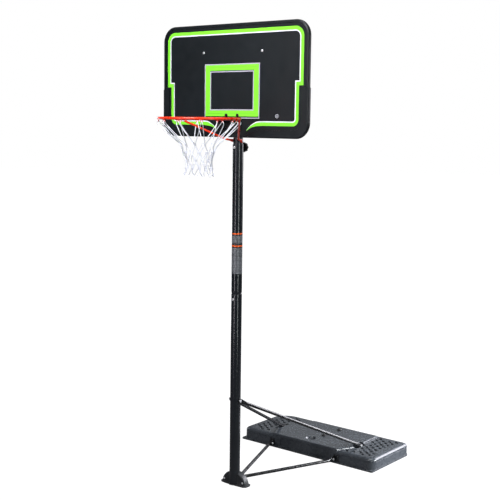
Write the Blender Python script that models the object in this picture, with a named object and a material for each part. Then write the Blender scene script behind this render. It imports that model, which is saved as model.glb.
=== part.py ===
"""Portable basketball hoop: weighted base, telescoping pole, backboard, rim and net.

Frame: metres, +Z up, origin on the ground on the pole's axis.
The front of the hoop (the side the rim is on) faces -Y, the base lies behind the pole at +Y,
and +X runs along the backboard's width.
"""

import math

import bmesh
import bpy
from mathutils import Vector

# ---------------------------------------------------------------- driving dimensions
GAP = 0.0003                    # clearance between pieces that touch

RIM_HEIGHT = 2.296              # centre of the ring at the lowest setting, about 7.5 ft
HEIGHT_TRAVEL = 0.762           # 2.5 ft of adjustment
HEIGHT_STEP = 0.1524            # 6 in between settings

BOARD_TOP = 2.860
BOARD_BOTTOM = 2.186
BOARD_HALF_UPPER = 0.561
BOARD_HALF_LOWER = 0.565
BOARD_CORNER = 0.095
BOARD_FRONT = -0.0655           # front of the raised border
BOARD_PANEL = -0.0635           # front of the flat playing panel
BOARD_BACK = -0.0414
BOARD_NOTCH_Z = 2.478

RIM_ROD = 0.008
RIM_RADIUS = 0.2365             # centre line of the ring's rod: 18 in clear inside
RIM_CENTRE_Y = -0.3553
HOOKS = 12
BRACE_ROD = 0.0062

TOP_POLE_R = 0.0300
TOP_POLE_WALL = 0.0015
TOP_POLE_BOTTOM = 1.25
TOP_POLE_TOP = 2.735
MID_POLE_R = 0.0333
MID_POLE_WALL = 0.0017
MID_POLE_BOTTOM = 1.0
MID_POLE_TOP = 2.145
SWAGE_R = 0.03025               # the middle pole's reduced end, pushed into the bottom pole
SWAGE_TOP = 1.224
SWAGE_RUN = 0.014               # height of the cone between the reduced end and the full tube
LOW_POLE_R = 0.03335
LOW_POLE_WALL = 0.0025
LOW_POLE_BOTTOM = 0.0062
LOW_POLE_TOP = 1.222
POLE_SIDES = 32

KNOB_Z = 2.126
JOINT_BOLT_Z = 1.191
PIVOT_Z = 0.548
BRACE_BOLT_Z = 2.164

TANK_FRONT = 0.737
TANK_BACK = 1.226
TANK_LEFT = -0.543
TANK_RIGHT = 0.562
FLANGE_T = 0.010
FLANGE_CORNER = 0.010
FLANGE_LIP = 0.012              # how far the flange reaches past the front wall
SIDE_LIP = 0.004                # and past the end walls and the back
TANK_CORNER = 0.055            # radius of both front corners
REAR_LEFT_CORNER = 0.135
REAR_RIGHT_CORNER = 0.040
TANK_WALL_Z = 0.070
TANK_TOP_Z = 0.086
PLATFORM_Z = 0.096

PLATFORM_FRONT_Y = TANK_FRONT + FLANGE_LIP + 0.0005
PLATFORM_SIDE = ((0.332, 0.880), (0.336, 1.040))    # where both sides of the raised middle bend
PLATFORM_FRONT = 0.272          # its half-width at the front
PLATFORM_REAR = {"left": 0.225, "right": 0.330}     # it is narrower at its rear left
PLATFORM_REAR_Y = 1.188
FILLERS = {"front": (0.040, 0.935), "rear": (0.052, 1.110)}

BOLT_R = 0.0040
BOLT_HOLE_R = 0.0044
PIVOT_BOLT_R = 0.0048
PIVOT_HOLE_R = 0.0054
STRUT_R = 0.0105                # tube of the braces and struts
TAB_T = 0.0040                  # thickness of their crimped ends
CLIP_X = 0.332                  # upper braces' clips on the tank
CLIP_Y = 0.962
CLIP_Z = 0.080                  # height of the upper braces' lower bolts, inside the pockets
CLIP_T = 0.003
POCKET_Z = 0.060                # floor of the pockets that hold the clips
STRUT_X = 0.262                 # lower struts' clips on the tank's front wall
STRUT_Z = 0.030
STRUT_CLIP_T = 0.004
LUG_HALF = 0.0100               # lug at the foot's rear that both struts bolt to
LUG_Y = 0.0560
FOOT_PLATE_T = 0.0058
FOOT_SCREW_X = 0.0745
FOOT_SCREW_Z = 0.024

PLATE_T = 0.003                 # plates of the board's brackets
BRACKET_T = 0.004               # the rim's angle bracket
UPPER_BOLTS = {"left": (-0.227, 2.693), "right": (0.227, 2.693)}
RIM_BOLTS = {"left": (-0.0435, 2.3180), "right": (0.0435, 2.3180)}
BRACKET_BOLTS = {"left": (-0.0435, 2.238), "right": (0.0435, 2.238)}

NET_TOP = 2.267
NET_BOTTOM = 1.960
NET_WALL = 0.003

SIDES = (("left", -1.0), ("right", 1.0))


# ---------------------------------------------------------------- scene and materials
def clear_scene():
    for obj in list(bpy.data.objects):
        bpy.data.objects.remove(obj, do_unlink=True)


def material(name, colour, roughness, metallic=0.0):
    mat = bpy.data.materials.new(name)
    mat.use_nodes = True
    shader = mat.node_tree.nodes["Principled BSDF"]
    shader.inputs["Base Color"].default_value = (*colour, 1.0)
    shader.inputs["Roughness"].default_value = roughness
    shader.inputs["Metallic"].default_value = metallic
    return mat


def pole_paint(name):
    return material(name, (0.020, 0.022, 0.025), 0.28)


def black_paint(name):
    return material(name, (0.014, 0.015, 0.017), 0.35)


def tank_plastic(name):
    return material(name, (0.075, 0.080, 0.088), 0.45)


def board_plastic(name):
    return material(name, (0.022, 0.024, 0.028), 0.42)


def rim_paint(name):
    return material(name, (0.82, 0.055, 0.018), 0.32)


def zinc(name):
    return material(name, (0.62, 0.63, 0.65), 0.32, 1.0)


def black_zinc(name):
    return material(name, (0.035, 0.036, 0.040), 0.40, 1.0)


def net_cord(name):
    return material(name, (0.88, 0.89, 0.91), 0.80)


# ---------------------------------------------------------------- mesh helpers
def empty(name, location, parent=None):
    obj = bpy.data.objects.new(name, None)
    bpy.context.scene.collection.objects.link(obj)
    obj.location = location
    obj.parent = parent
    return obj


def finish(name, bm, mat, location=(0, 0, 0), parent=None, angle=32):
    """Turn a bmesh into a placed, shaded object."""
    bmesh.ops.recalc_face_normals(bm, faces=bm.faces)
    mesh = bpy.data.meshes.new(name)
    bm.to_mesh(mesh)
    bm.free()
    mesh.shade_smooth()
    mesh.set_sharp_from_angle(angle=math.radians(angle))
    obj = bpy.data.objects.new(name, mesh)
    bpy.context.scene.collection.objects.link(obj)
    if mat is not None:
        mesh.materials.append(mat)
    obj.location = location
    obj.parent = parent
    return obj


def loft(bm, sections, closed=False):
    """Skin equal-length rings of points; open ends are capped, a closed loft joins last to first."""
    rings = [[bm.verts.new(p) for p in section] for section in sections]
    count = len(rings[0])
    spans = list(zip(rings, rings[1:]))
    if closed:
        spans.append((rings[-1], rings[0]))
    for a, b in spans:
        for i in range(count):
            j = (i + 1) % count
            bm.faces.new((a[i], a[j], b[j], b[i]))
    if not closed:
        bm.faces.new(list(reversed(rings[0])))
        bm.faces.new(rings[-1])
    return rings


def circle(radius, sides, phase=0.0):
    angles = [phase + 2 * math.pi * i / sides for i in range(sides)]
    return [(radius * math.cos(a), radius * math.sin(a)) for a in angles]


def ring_z(radius, z, sides, phase=0.0, cx=0.0, cy=0.0):
    return [(cx + x, cy + y, z) for x, y in circle(radius, sides, phase)]


AXIS_FRAMES = {
    "X": (Vector((0, 1, 0)), Vector((0, 0, 1)), Vector((1, 0, 0))),
    "Y": (Vector((0, 0, 1)), Vector((1, 0, 0)), Vector((0, 1, 0))),
    "Z": (Vector((1, 0, 0)), Vector((0, 1, 0)), Vector((0, 0, 1))),
}


def turned(bm, profile, axis="Z", sides=16, centre=(0, 0, 0), phase=0.0, closed=False):
    """A turned solid: profile is (radius, height) from one end to the other along the axis.

    A third item marks a hexagonal section: every second point of twelve sits on a flat.
    A closed profile makes a ring.
    """
    u, v, w = AXIS_FRAMES[axis]
    c = Vector(centre)
    flat = math.cos(math.radians(30))
    sections = []
    for entry in profile:
        radius, height = entry[0], entry[1]
        ring = []
        for i, (x, y) in enumerate(circle(radius, sides, phase)):
            k = flat if len(entry) > 2 and i % 2 else 1.0
            ring.append(c + u * (x * k) + v * (y * k) + w * height)
        sections.append(ring)
    loft(bm, sections, closed)


def box(bm, low, high):
    (x0, y0, z0), (x1, y1, z1) = low, high
    loft(bm, [[(x0, y0, z), (x1, y0, z), (x1, y1, z), (x0, y1, z)] for z in (z0, z1)])


def arc(cx, cy, radius, start, end, steps):
    pts = []
    for i in range(steps + 1):
        a = math.radians(start + (end - start) * i / steps)
        pts.append((cx + radius * math.cos(a), cy + radius * math.sin(a)))
    return pts


def offset_outline(pts, distance):
    """Move a counter-clockwise outline inwards by a distance."""
    out = []
    count = len(pts)
    for i in range(count):
        p = Vector(pts[i])
        before = (p - Vector(pts[i - 1])).normalized()
        after = (Vector(pts[(i + 1) % count]) - p).normalized()
        n0 = Vector((-before.y, before.x))
        n1 = Vector((-after.y, after.x))
        bisector = (n0 + n1).normalized()
        reach = distance / max(0.5, bisector.dot(n0))
        out.append(tuple(p + bisector * reach))
    return out


def sweep(bm, points, radii, flats, thin_axis, sides=12):
    """A rod along points. Each section is an ellipse or a flattened tab: radii is (wide, thin)."""
    pts = [Vector(p) for p in points]
    sections = []
    for i, p in enumerate(pts):
        before = (p - pts[i - 1]).normalized() if i else (pts[1] - p).normalized()
        after = (pts[i + 1] - p).normalized() if i + 1 < len(pts) else before
        along = (before + after).normalized()
        thin = (thin_axis - along * thin_axis.dot(along)).normalized()
        wide = along.cross(thin).normalized()
        rw, rt = radii[i]
        ring = []
        for k in range(sides):
            a = 2 * math.pi * (k + 0.5) / sides
            c, s = math.cos(a), math.sin(a)
            if flats[i]:
                c = math.copysign(min(1.0, abs(c) * 1.25), c)
                s = math.copysign(1.0, s) if abs(s) > 0.3 else s * 2.0
            ring.append(p + wide * (c * rw) + thin * (s * rt))
        sections.append(ring)
    loft(bm, sections)


def helper(name, bm, parent=None):
    """A hidden mesh that a Boolean uses to cut or join."""
    obj = finish(name, bm, None, parent=parent)
    obj.hide_render = True
    obj.display_type = "WIRE"
    return obj


def boolean(obj, tool, operation):
    mod = obj.modifiers.new(operation.lower(), "BOOLEAN")
    mod.operation = operation
    mod.object = tool
    return mod


# ---------------------------------------------------------------- base tank
def tank_outline(inset, lip, front_corner):
    """The tank seen from above, moved inwards; lip is what the walls stand back from the flange."""
    front_lip, side_lip = lip
    x0, x1 = TANK_LEFT + side_lip + inset, TANK_RIGHT - side_lip - inset
    y0, y1 = TANK_FRONT + front_lip + inset, TANK_BACK - side_lip - inset
    front = front_corner - inset
    rear_left = REAR_LEFT_CORNER - inset
    rear_right = REAR_RIGHT_CORNER - inset
    corners = (
        (x1 - front, y0 + front, front, -90),
        (x1 - rear_right, y1 - rear_right, rear_right, 0),
        (x0 + rear_left, y1 - rear_left, rear_left, 90),
        (x0 + front, y0 + front, front, 180),
    )
    points = []
    for x, y, radius, start in corners:
        points += arc(x, y, radius, start, start + 90, 6)
    return points


def tank_section(inset, z):
    return [(x, y, z) for x, y in tank_outline(inset, (FLANGE_LIP, SIDE_LIP), TANK_CORNER)]


def platform_side(side, inset):
    front = (PLATFORM_FRONT - inset, PLATFORM_FRONT_Y + inset)
    middle = [(x - inset, y) for x, y in PLATFORM_SIDE]
    rear = (PLATFORM_REAR[side] - inset, PLATFORM_REAR_Y - inset)
    return [front] + middle + [rear]


def platform_outline(inset):
    left = [(-x, y) for x, y in reversed(platform_side("left", inset))]
    return platform_side("right", inset) + left


def build_tank():
    """Blow-moulded tank: flange, straight walls, rolled shoulder, raised middle and end fields."""
    bm = bmesh.new()
    loft(bm, [
        tank_section(0.0, 0.0),
        tank_section(0.0, TANK_WALL_Z),
        tank_section(0.004, TANK_WALL_Z + 0.007),
        tank_section(0.014, TANK_WALL_Z + 0.0125),
        tank_section(0.034, TANK_TOP_Z),
    ])
    tank = finish("base_tank", bm, tank_plastic("tank_plastic"))

    bm = bmesh.new()
    flange_outline = tank_outline(0.0, (0.0, 0.0), FLANGE_CORNER)
    loft(bm, [[(x, y, z) for x, y in flange_outline] for z in (0.0, FLANGE_T)])
    flange = helper("tank_flange", bm)
    boolean(tank, flange, "UNION")

    bm = bmesh.new()
    loft(bm, [
        [(x, y, 0.03) for x, y in platform_outline(0.0)],
        [(x, y, TANK_TOP_Z - 0.002) for x, y in platform_outline(0.0)],
        [(x, y, PLATFORM_Z - 0.002) for x, y in platform_outline(0.005)],
        [(x, y, PLATFORM_Z) for x, y in platform_outline(0.010)],
    ])
    platform = helper("tank_platform", bm)
    boolean(tank, platform, "UNION")

    # shallow panel in the middle of the front wall, round dimple and two filler holes on top
    bm = bmesh.new()
    box(bm, (-0.205, TANK_FRONT, 0.016), (0.205, TANK_FRONT + FLANGE_LIP + 0.006, 0.078))
    turned(bm, [(0.024, PLATFORM_Z - 0.007), (0.038, PLATFORM_Z + 0.004)], "Z", 24, (0.0, 0.835, 0.0))
    for sx in (-1.0, 1.0):
        x0, x1 = sorted((sx * (CLIP_X - 0.028), sx * (CLIP_X + 0.024)))
        box(bm, (x0, CLIP_Y - 0.085, POCKET_Z), (x1, CLIP_Y + 0.028, PLATFORM_Z + 0.01))
    for x, y in FILLERS.values():
        turned(bm, [(0.0112, PLATFORM_Z - 0.022), (0.0112, PLATFORM_Z + 0.01)], "Z", 16, (x, y, 0.0))
    cuts = helper("tank_cuts", bm)
    boolean(tank, cuts, "DIFFERENCE")
    return tank


def build_filler_caps():
    """Push-in plugs with a finger ridge; each one's origin is on the axis it pulls out along."""
    for name, (x, y) in FILLERS.items():
        bm = bmesh.new()
        turned(bm, [(0.0100, -0.0200), (0.0108, -0.0180), (0.0108, GAP), (0.0160, GAP),
                    (0.0160, 0.0055), (0.0145, 0.0080), (0.0075, 0.0085), (0.0065, 0.0125),
                     (0.0050, 0.0130)],
               "Z", 16)
        finish("fill_cap_" + name, bm, black_paint("cap_plastic_" + name), (x, y, PLATFORM_Z))


# ---------------------------------------------------------------- clips, braces and struts
def fasten(name, start, length, axis, sizes, plating, parent=None, hexed=True):
    """A bolt along an axis and its nut. The head is outside the start face, the nut on the far face.

    sizes: shank radius, head radius, head thickness, nut thickness. A negative length points the
    bolt the other way along the axis.
    """
    shank, head, head_t, nut_t = sizes
    way = math.copysign(1.0, length)
    far = length + way * nut_t
    if hexed:
        top = [(head, -way * head_t, 6), (head, 0.0, 6)]
    else:
        top = [(head * 0.70, -way * head_t), (head, -way * head_t * 0.4), (head, 0.0)]
    bm = bmesh.new()
    turned(bm, top + [(shank, 0.0), (shank, far + way * 0.002), (shank * 0.85, far + way * 0.003)],
           axis, 12, start)
    finish(name, bm, plating(name + "_plating"), parent=parent)
    bm = bmesh.new()
    bore = shank + GAP
    profile = [(head, length, 6), (head, far, 6), (bore, far), (bore, length)]
    turned(bm, profile, axis, 12, start, closed=True)
    nut = name.replace("bolt", "nut")
    finish(nut, bm, plating(nut + "_plating"), parent=parent)


def build_brace_clips(side, sx):
    """Angle clip on the floor of a pocket in the tank; the upper brace bolts to its ear."""
    ear = CLIP_X - 0.0052
    bm = bmesh.new()
    x0, x1 = sorted((sx * (ear - CLIP_T), sx * (CLIP_X + 0.020)))
    box(bm, (x0, CLIP_Y - 0.020, POCKET_Z + GAP), (x1, CLIP_Y + 0.020, POCKET_Z + 0.0028))
    clip = finish("brace_clip_" + side, bm, black_paint("clip_paint_" + side))
    bm = bmesh.new()
    x0, x1 = sorted((sx * (ear - CLIP_T), sx * ear))
    outline = [(CLIP_Y - 0.017, POCKET_Z + 0.001), (CLIP_Y + 0.017, POCKET_Z + 0.001),
               (CLIP_Y + 0.017, CLIP_Z + 0.004), (CLIP_Y + 0.009, CLIP_Z + 0.012),
               (CLIP_Y - 0.009, CLIP_Z + 0.012), (CLIP_Y - 0.017, CLIP_Z + 0.004)]
    loft(bm, [[(x, y, z) for y, z in outline] for x in (x0, x1)])
    boolean(clip, helper("clip_ear_" + side, bm), "UNION")
    bm = bmesh.new()
    turned(bm, [(BOLT_HOLE_R, -0.02), (BOLT_HOLE_R, 0.02)], "X", 12, (sx * ear, CLIP_Y, CLIP_Z))
    boolean(clip, helper("clip_hole_" + side, bm), "DIFFERENCE")


def build_upper_brace(side, sx):
    """Round tube with crimped ends, from the pole's pivot bolt down to the clip on the tank."""
    x_pole = LOW_POLE_R + GAP + 0.0022
    x_clip = CLIP_X - 0.0026
    down = Vector((0.0, CLIP_Y, CLIP_Z - PIVOT_Z)).normalized()
    top = Vector((sx * x_pole, 0.0, PIVOT_Z))
    low = Vector((sx * x_clip, CLIP_Y, CLIP_Z))
    a = top + down * 0.030
    b = low - down * 0.030
    run = (b - a).normalized()
    points = [top - down * 0.014, a, a + run * 0.045, b - run * 0.045, b, low + down * 0.0105]
    tab = (0.0150, TAB_T / 2)
    small = (0.0100, TAB_T / 2)
    tube = (STRUT_R, STRUT_R)
    bm = bmesh.new()
    sweep(bm, points, [tab, tab, tube, tube, small, small], [True, True, False, False, True, True],
          Vector((1, 0, 0)))
    brace = finish("upper_brace_" + side, bm, black_paint("upper_brace_paint_" + side))
    bm = bmesh.new()
    turned(bm, [(PIVOT_HOLE_R, -0.01), (PIVOT_HOLE_R, 0.01)], "X", 12, top)
    turned(bm, [(BOLT_HOLE_R, -0.01), (BOLT_HOLE_R, 0.01)], "X", 12, low)
    boolean(brace, helper("upper_brace_holes_" + side, bm), "DIFFERENCE")


def build_strut(side, sx):
    """Level strut from the foot's rear lug to the clip on the tank's front wall."""
    x_foot = LUG_HALF + GAP + 0.0022
    foot = Vector((sx * x_foot, LUG_Y, STRUT_Z))
    low = Vector((sx * STRUT_X, TANK_FRONT - 0.014, STRUT_Z))
    y = Vector((0, 1, 0))
    a = foot + y * 0.016
    b = low - y * 0.026
    run = (b - a).normalized()
    points = [foot - y * 0.010, a, a + run * 0.050, b - run * 0.045, b, low + y * 0.012]
    tab = (0.0120, TAB_T / 2)
    tube = (STRUT_R, STRUT_R)
    bm = bmesh.new()
    sweep(bm, points, [tab, tab, tube, tube, tab, tab], [True, True, False, False, True, True],
          Vector((1, 0, 0)))
    strut = finish("lower_strut_" + side, bm, black_paint("strut_paint_" + side))
    bm = bmesh.new()
    turned(bm, [(BOLT_HOLE_R, -0.01), (BOLT_HOLE_R, 0.01)], "X", 12, foot)
    turned(bm, [(BOLT_HOLE_R, -0.01), (BOLT_HOLE_R, 0.01)], "X", 12, low)
    boolean(strut, helper("strut_holes_" + side, bm), "DIFFERENCE")


def build_strut_clip(side, sx):
    """Bracket on the tank's front wall: back plate and a forward ear beside the strut's tab."""
    wall = TANK_FRONT + FLANGE_LIP
    ear = STRUT_X - 0.0027
    bm = bmesh.new()
    x0, x1 = sorted((sx * (ear - 0.006), sx * (ear + 0.034)))
    box(bm, (x0, wall - 0.0034, FLANGE_T + GAP), (x1, wall - GAP, 0.058))
    clip = finish("strut_clip_" + side, bm, black_paint("strut_clip_paint_" + side))
    bm = bmesh.new()
    x0, x1 = sorted((sx * (ear - STRUT_CLIP_T), sx * ear))
    outline = [(wall - 0.002, FLANGE_T + 0.001), (wall - 0.002, 0.054), (wall - 0.020, 0.050),
               (TANK_FRONT - 0.026, 0.038), (TANK_FRONT - 0.026, 0.020), (TANK_FRONT - 0.010, 0.0135)]
    loft(bm, [[(x, y, z) for y, z in outline] for x in (x0, x1)])
    boolean(clip, helper("strut_clip_ear_" + side, bm), "UNION")
    bm = bmesh.new()
    turned(bm, [(BOLT_HOLE_R, -0.02), (BOLT_HOLE_R, 0.02)], "X", 12, (sx * ear, TANK_FRONT - 0.014, STRUT_Z))
    boolean(clip, helper("strut_clip_hole_" + side, bm), "DIFFERENCE")


def build_side_bolts(side, sx):
    """Bolts through the clips: heads outboard, nuts inboard."""
    reach = TAB_T + 0.0007
    places = (("brace_clip_bolt_", CLIP_X - 0.0052, CLIP_Y, CLIP_Z, CLIP_T),
              ("strut_clip_bolt_", STRUT_X - 0.0027, TANK_FRONT - 0.014, STRUT_Z, STRUT_CLIP_T))
    for name, x_ear, y, z, ear_t in places:
        length = ear_t + reach + 4 * GAP
        start = x_ear + reach + 2 * GAP
        fasten(name + side, (sx * start, y, z), -sx * length, "X",
               (BOLT_R, 0.0080, 0.0050, 0.0060), black_zinc)


# ---------------------------------------------------------------- foot
def foot_hood(half=0.094, height=0.084, y0=-0.012, y1=0.034, steps=14):
    """Half-round hood across the foot, its front and back edges softened."""
    base = []
    for i in range(steps + 1):
        t = math.pi * i / steps
        base.append((half * math.cos(t), max(0.002, height * math.sin(t))))
    soft = [(x * 0.93, max(0.002, z * 0.94)) for x, z in base]
    bm = bmesh.new()
    loft(bm, [[(x, y0, z) for x, z in soft], [(x, y0 + 0.006, z) for x, z in base],
              [(x, y1 - 0.004, z) for x, z in base], [(x, y1, z) for x, z in soft]])
    return helper("foot_hood", bm)


def foot_groove(name, half, height, steps=14, low=0.012, inner=0.88):
    """Arched groove pressed into the hood's front face."""
    section = ((1.0, -0.020), (1.0, -0.0085), (inner, -0.0085), (inner, -0.020))
    rings = []
    for i in range(steps + 1):
        t = math.pi * i / steps
        c, s = math.cos(t), math.sin(t)
        rings.append([(half * k * c, y, low + (height - low) * k * s) for k, y in section])
    bm = bmesh.new()
    loft(bm, rings)
    return helper(name, bm)


def build_foot():
    """Moulded foot: floor plate, domed hood with arched ribs, socket for the pole, rear strut lug."""
    bm = bmesh.new()
    plate = [(0.030, -0.0285), (0.086, -0.024), (0.103, -0.010), (0.105, 0.020), (0.094, 0.044),
             (0.060, 0.052)]
    outline = plate + [(-x, y) for x, y in reversed(plate)]
    loft(bm, [[(x, y, z) for x, y in outline] for z in (0.0, FOOT_PLATE_T)])
    foot = finish("foot", bm, tank_plastic("foot_plastic"))
    boolean(foot, foot_hood(), "UNION")
    for k, (half, height) in enumerate(((0.080, 0.070), (0.056, 0.048))):
        boolean(foot, foot_groove("foot_groove_%d" % k, half, height), "DIFFERENCE")
    bm = bmesh.new()
    turned(bm, [(0.0405, 0.003), (0.0405, 0.050), (0.0375, 0.058)], "Z", POLE_SIDES)
    boolean(foot, helper("foot_socket", bm), "UNION")
    bm = bmesh.new()
    box(bm, (-LUG_HALF, 0.028, 0.003), (LUG_HALF, 0.072, 0.046))
    boolean(foot, helper("foot_lug", bm), "UNION")
    # the pole's bore stops on the floor plate; the socket is open at the front so the pole shows
    bm = bmesh.new()
    bore, floor = LOW_POLE_R + 0.00045, LOW_POLE_BOTTOM - GAP
    turned(bm, [(bore, floor), (bore, 0.12)], "Z", POLE_SIDES)
    boolean(foot, helper("foot_bore", bm), "DIFFERENCE")
    bm = bmesh.new()
    box(bm, (-0.060, -0.060, floor), (0.060, -0.014, 0.10))
    turned(bm, [(BOLT_HOLE_R, -0.03), (BOLT_HOLE_R, 0.03)], "X", 12, (0, LUG_Y, STRUT_Z))
    boolean(foot, helper("foot_cuts", bm), "DIFFERENCE")


def build_foot_bolts():
    half = LUG_HALF + TAB_T + 0.0004 + 3 * GAP
    fasten("strut_foot_bolt", (half, LUG_Y, STRUT_Z), -2 * half, "X", (BOLT_R, 0.0078, 0.0055, 0.006), zinc)
    for side, sx in SIDES:
        bm = bmesh.new()
        turned(bm, [(0.0045, -0.0045), (0.0068, -0.0030), (0.0068, -GAP)], "Y", 12,
               (sx * FOOT_SCREW_X, -0.0120, FOOT_SCREW_Z))
        finish("foot_screw_" + side, bm, zinc("foot_screw_zinc_" + side))


# ---------------------------------------------------------------- poles
def tube(name, profile, wall, mat, holes, parent=None):
    """A round tube about the Z axis with round holes drilled through it: (axis, z, radius).

    profile is the outside: (radius, z) from the bottom to the top.
    """
    bm = bmesh.new()
    phase = math.pi / POLE_SIDES
    outside = [ring_z(r, z, POLE_SIDES, phase) for r, z in profile]
    inside = [ring_z(r - wall, z, POLE_SIDES, phase) for r, z in reversed(profile)]
    loft(bm, outside + inside, closed=True)
    obj = finish(name, bm, mat, parent=parent)
    bm = bmesh.new()
    for axis, z, r in holes:
        turned(bm, [(r, -0.05), (r, 0.05)], axis, 12, (0, 0, z))
    boolean(obj, helper(name + "_holes", bm, parent), "DIFFERENCE")
    return obj


def build_poles(head):
    through, stud_hole = 0.0046, 0.0050
    tube("bottom_pole", [(LOW_POLE_R, LOW_POLE_BOTTOM), (LOW_POLE_R, LOW_POLE_TOP)], LOW_POLE_WALL,
         pole_paint("bottom_pole_paint"), [("Y", JOINT_BOLT_Z, through), ("X", PIVOT_Z, PIVOT_HOLE_R)])
    tube("middle_pole", [(SWAGE_R, MID_POLE_BOTTOM), (SWAGE_R, SWAGE_TOP),
                         (MID_POLE_R, SWAGE_TOP + SWAGE_RUN), (MID_POLE_R, MID_POLE_TOP)], MID_POLE_WALL,
         pole_paint("middle_pole_paint"), [("Y", JOINT_BOLT_Z, through), ("Y", KNOB_Z, stud_hole)])
    # one row of holes for each height setting, the rim's brace bolt above them
    settings = round(HEIGHT_TRAVEL / HEIGHT_STEP) + 1
    holes = [("Y", KNOB_Z - k * HEIGHT_STEP, stud_hole) for k in range(settings)]
    holes.append(("X", BRACE_BOLT_Z, through))
    tube("top_pole", [(TOP_POLE_R, TOP_POLE_BOTTOM), (TOP_POLE_R, TOP_POLE_TOP)], TOP_POLE_WALL,
         pole_paint("top_pole_paint"), holes, head)

    bm = bmesh.new()
    plug = TOP_POLE_R - TOP_POLE_WALL - 0.0004
    turned(bm, [(plug * 0.96, -0.016), (plug, -0.014), (plug, GAP), (TOP_POLE_R + 0.0015, GAP),
                (TOP_POLE_R + 0.0015, 0.004), (TOP_POLE_R - 0.004, 0.008), (0.010, 0.0105)], "Z", POLE_SIDES)
    finish("pole_cap", bm, black_paint("pole_cap_plastic"), (0, 0, TOP_POLE_TOP), head)


def build_pole_bolts(head):
    # joint bolt, front to back through both tubes
    reach = LOW_POLE_R + GAP
    fasten("pole_joint_bolt", (0, -reach, JOINT_BOLT_Z), 2 * reach, "Y",
           (BOLT_R, 0.0082, 0.0055, 0.0065), zinc, hexed=False)
    # pivot bolt of the upper braces, side to side
    reach = LOW_POLE_R + TAB_T + 0.0004 + 3 * GAP
    fasten("brace_pivot_bolt", (reach, 0, PIVOT_Z), -2 * reach, "X",
           (PIVOT_BOLT_R, 0.0095, 0.0065, 0.0075), zinc)
    # bolt of the rim's braces, side to side through the top pole
    reach = TOP_POLE_R + 0.0040 + 3 * GAP
    fasten("rim_brace_bolt", (reach, 0, BRACE_BOLT_Z), -2 * reach, "X",
           (BOLT_R, 0.0082, 0.0060, 0.0065), zinc, head)
    # front guide bolt of the height lock: it stops short of the sliding pole
    bm = bmesh.new()
    turned(bm, [(0.0060, -0.0060), (0.0085, -0.0040), (0.0085, -GAP), (0.0045, -GAP), (0.0045, 0.0011)],
           "Y", 16, (0, -MID_POLE_R, KNOB_Z))
    finish("height_guide_bolt", bm, zinc("height_guide_zinc"))


def build_knob():
    """Eight-lobed clamp knob with its stud; the origin is on the axis it turns about."""
    axis = empty("knob_axis", (0, MID_POLE_R, KNOB_Z))
    bm = bmesh.new()
    sides = 48
    sections = []
    for y, grow in ((0.0150, 0.90), (0.0175, 1.0), (0.0290, 1.0), (0.0330, 0.90)):
        ring = []
        for i in range(sides):
            a = 2 * math.pi * i / sides
            r = grow * (0.0295 + 0.0017 * math.cos(8 * a))
            ring.append((r * math.sin(a), y, r * math.cos(a)))
        sections.append(ring)
    loft(bm, sections)
    knob = finish("height_knob", bm, black_paint("knob_plastic"), parent=axis)
    bm = bmesh.new()
    turned(bm, [(0.0045, -0.0011), (0.0045, GAP), (0.0120, GAP), (0.0120, 0.0165)], "Y", 16)
    stud = helper("knob_stud", bm, axis)
    boolean(knob, stud, "UNION")


# ---------------------------------------------------------------- backboard and its brackets
def board_outline():
    """Outline in X and Z, counter-clockwise seen from the front."""
    r = BOARD_CORNER
    xu, xl = BOARD_HALF_UPPER, BOARD_HALF_LOWER
    right = arc(xl - r, BOARD_BOTTOM + r, r, -90, 0, 8)
    right += [(xl, BOARD_NOTCH_Z - 0.004), (xu - 0.003, BOARD_NOTCH_Z), (xu, BOARD_NOTCH_Z + 0.003)]
    right += arc(xu - r, BOARD_TOP - r, r, 0, 90, 8)
    left = [(-x, z) for x, z in reversed(right)]
    return right + left


def panel_outline():
    """Edge of the flat playing panel inside the raised border; open at the bottom in the middle."""
    right = [(0.085, BOARD_BOTTOM - 0.02), (0.085, BOARD_BOTTOM + 0.003), (0.130, BOARD_BOTTOM + 0.022),
             (0.180, BOARD_BOTTOM + 0.038), (0.235, BOARD_BOTTOM + 0.046)]
    right += arc(0.460, BOARD_BOTTOM + 0.101, 0.055, -90, 0, 5)
    right += [(0.515, BOARD_NOTCH_Z), (0.541, BOARD_NOTCH_Z + 0.012)]
    right += arc(0.461, BOARD_TOP - 0.096, 0.080, 0, 90, 6)
    left = [(-x, z) for x, z in reversed(right)]
    return right + left


def build_board(head):
    outline = board_outline()
    bm = bmesh.new()
    loft(bm, [
        [(x, BOARD_BACK, z) for x, z in offset_outline(outline, 0.003)],
        [(x, BOARD_BACK - 0.003, z) for x, z in outline],
        [(x, BOARD_FRONT + 0.006, z) for x, z in outline],
        [(x, BOARD_FRONT + 0.002, z) for x, z in offset_outline(outline, 0.0018)],
        [(x, BOARD_FRONT, z) for x, z in offset_outline(outline, 0.0060)],
    ])
    board = finish("backboard", bm, board_plastic("board_plastic"), parent=head)
    bm = bmesh.new()
    loft(bm, [[(x, y, z) for x, z in panel_outline()] for y in (BOARD_PANEL, BOARD_FRONT - 0.01)])
    boolean(board, helper("board_panel_cut", bm, head), "DIFFERENCE")
    bm = bmesh.new()
    for x, z in [*UPPER_BOLTS.values(), *RIM_BOLTS.values(), *BRACKET_BOLTS.values()]:
        turned(bm, [(BOLT_HOLE_R, -0.03), (BOLT_HOLE_R, 0.03)], "Y", 12, (x, -0.053, z))
    boolean(board, helper("board_holes", bm, head), "DIFFERENCE")


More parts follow.
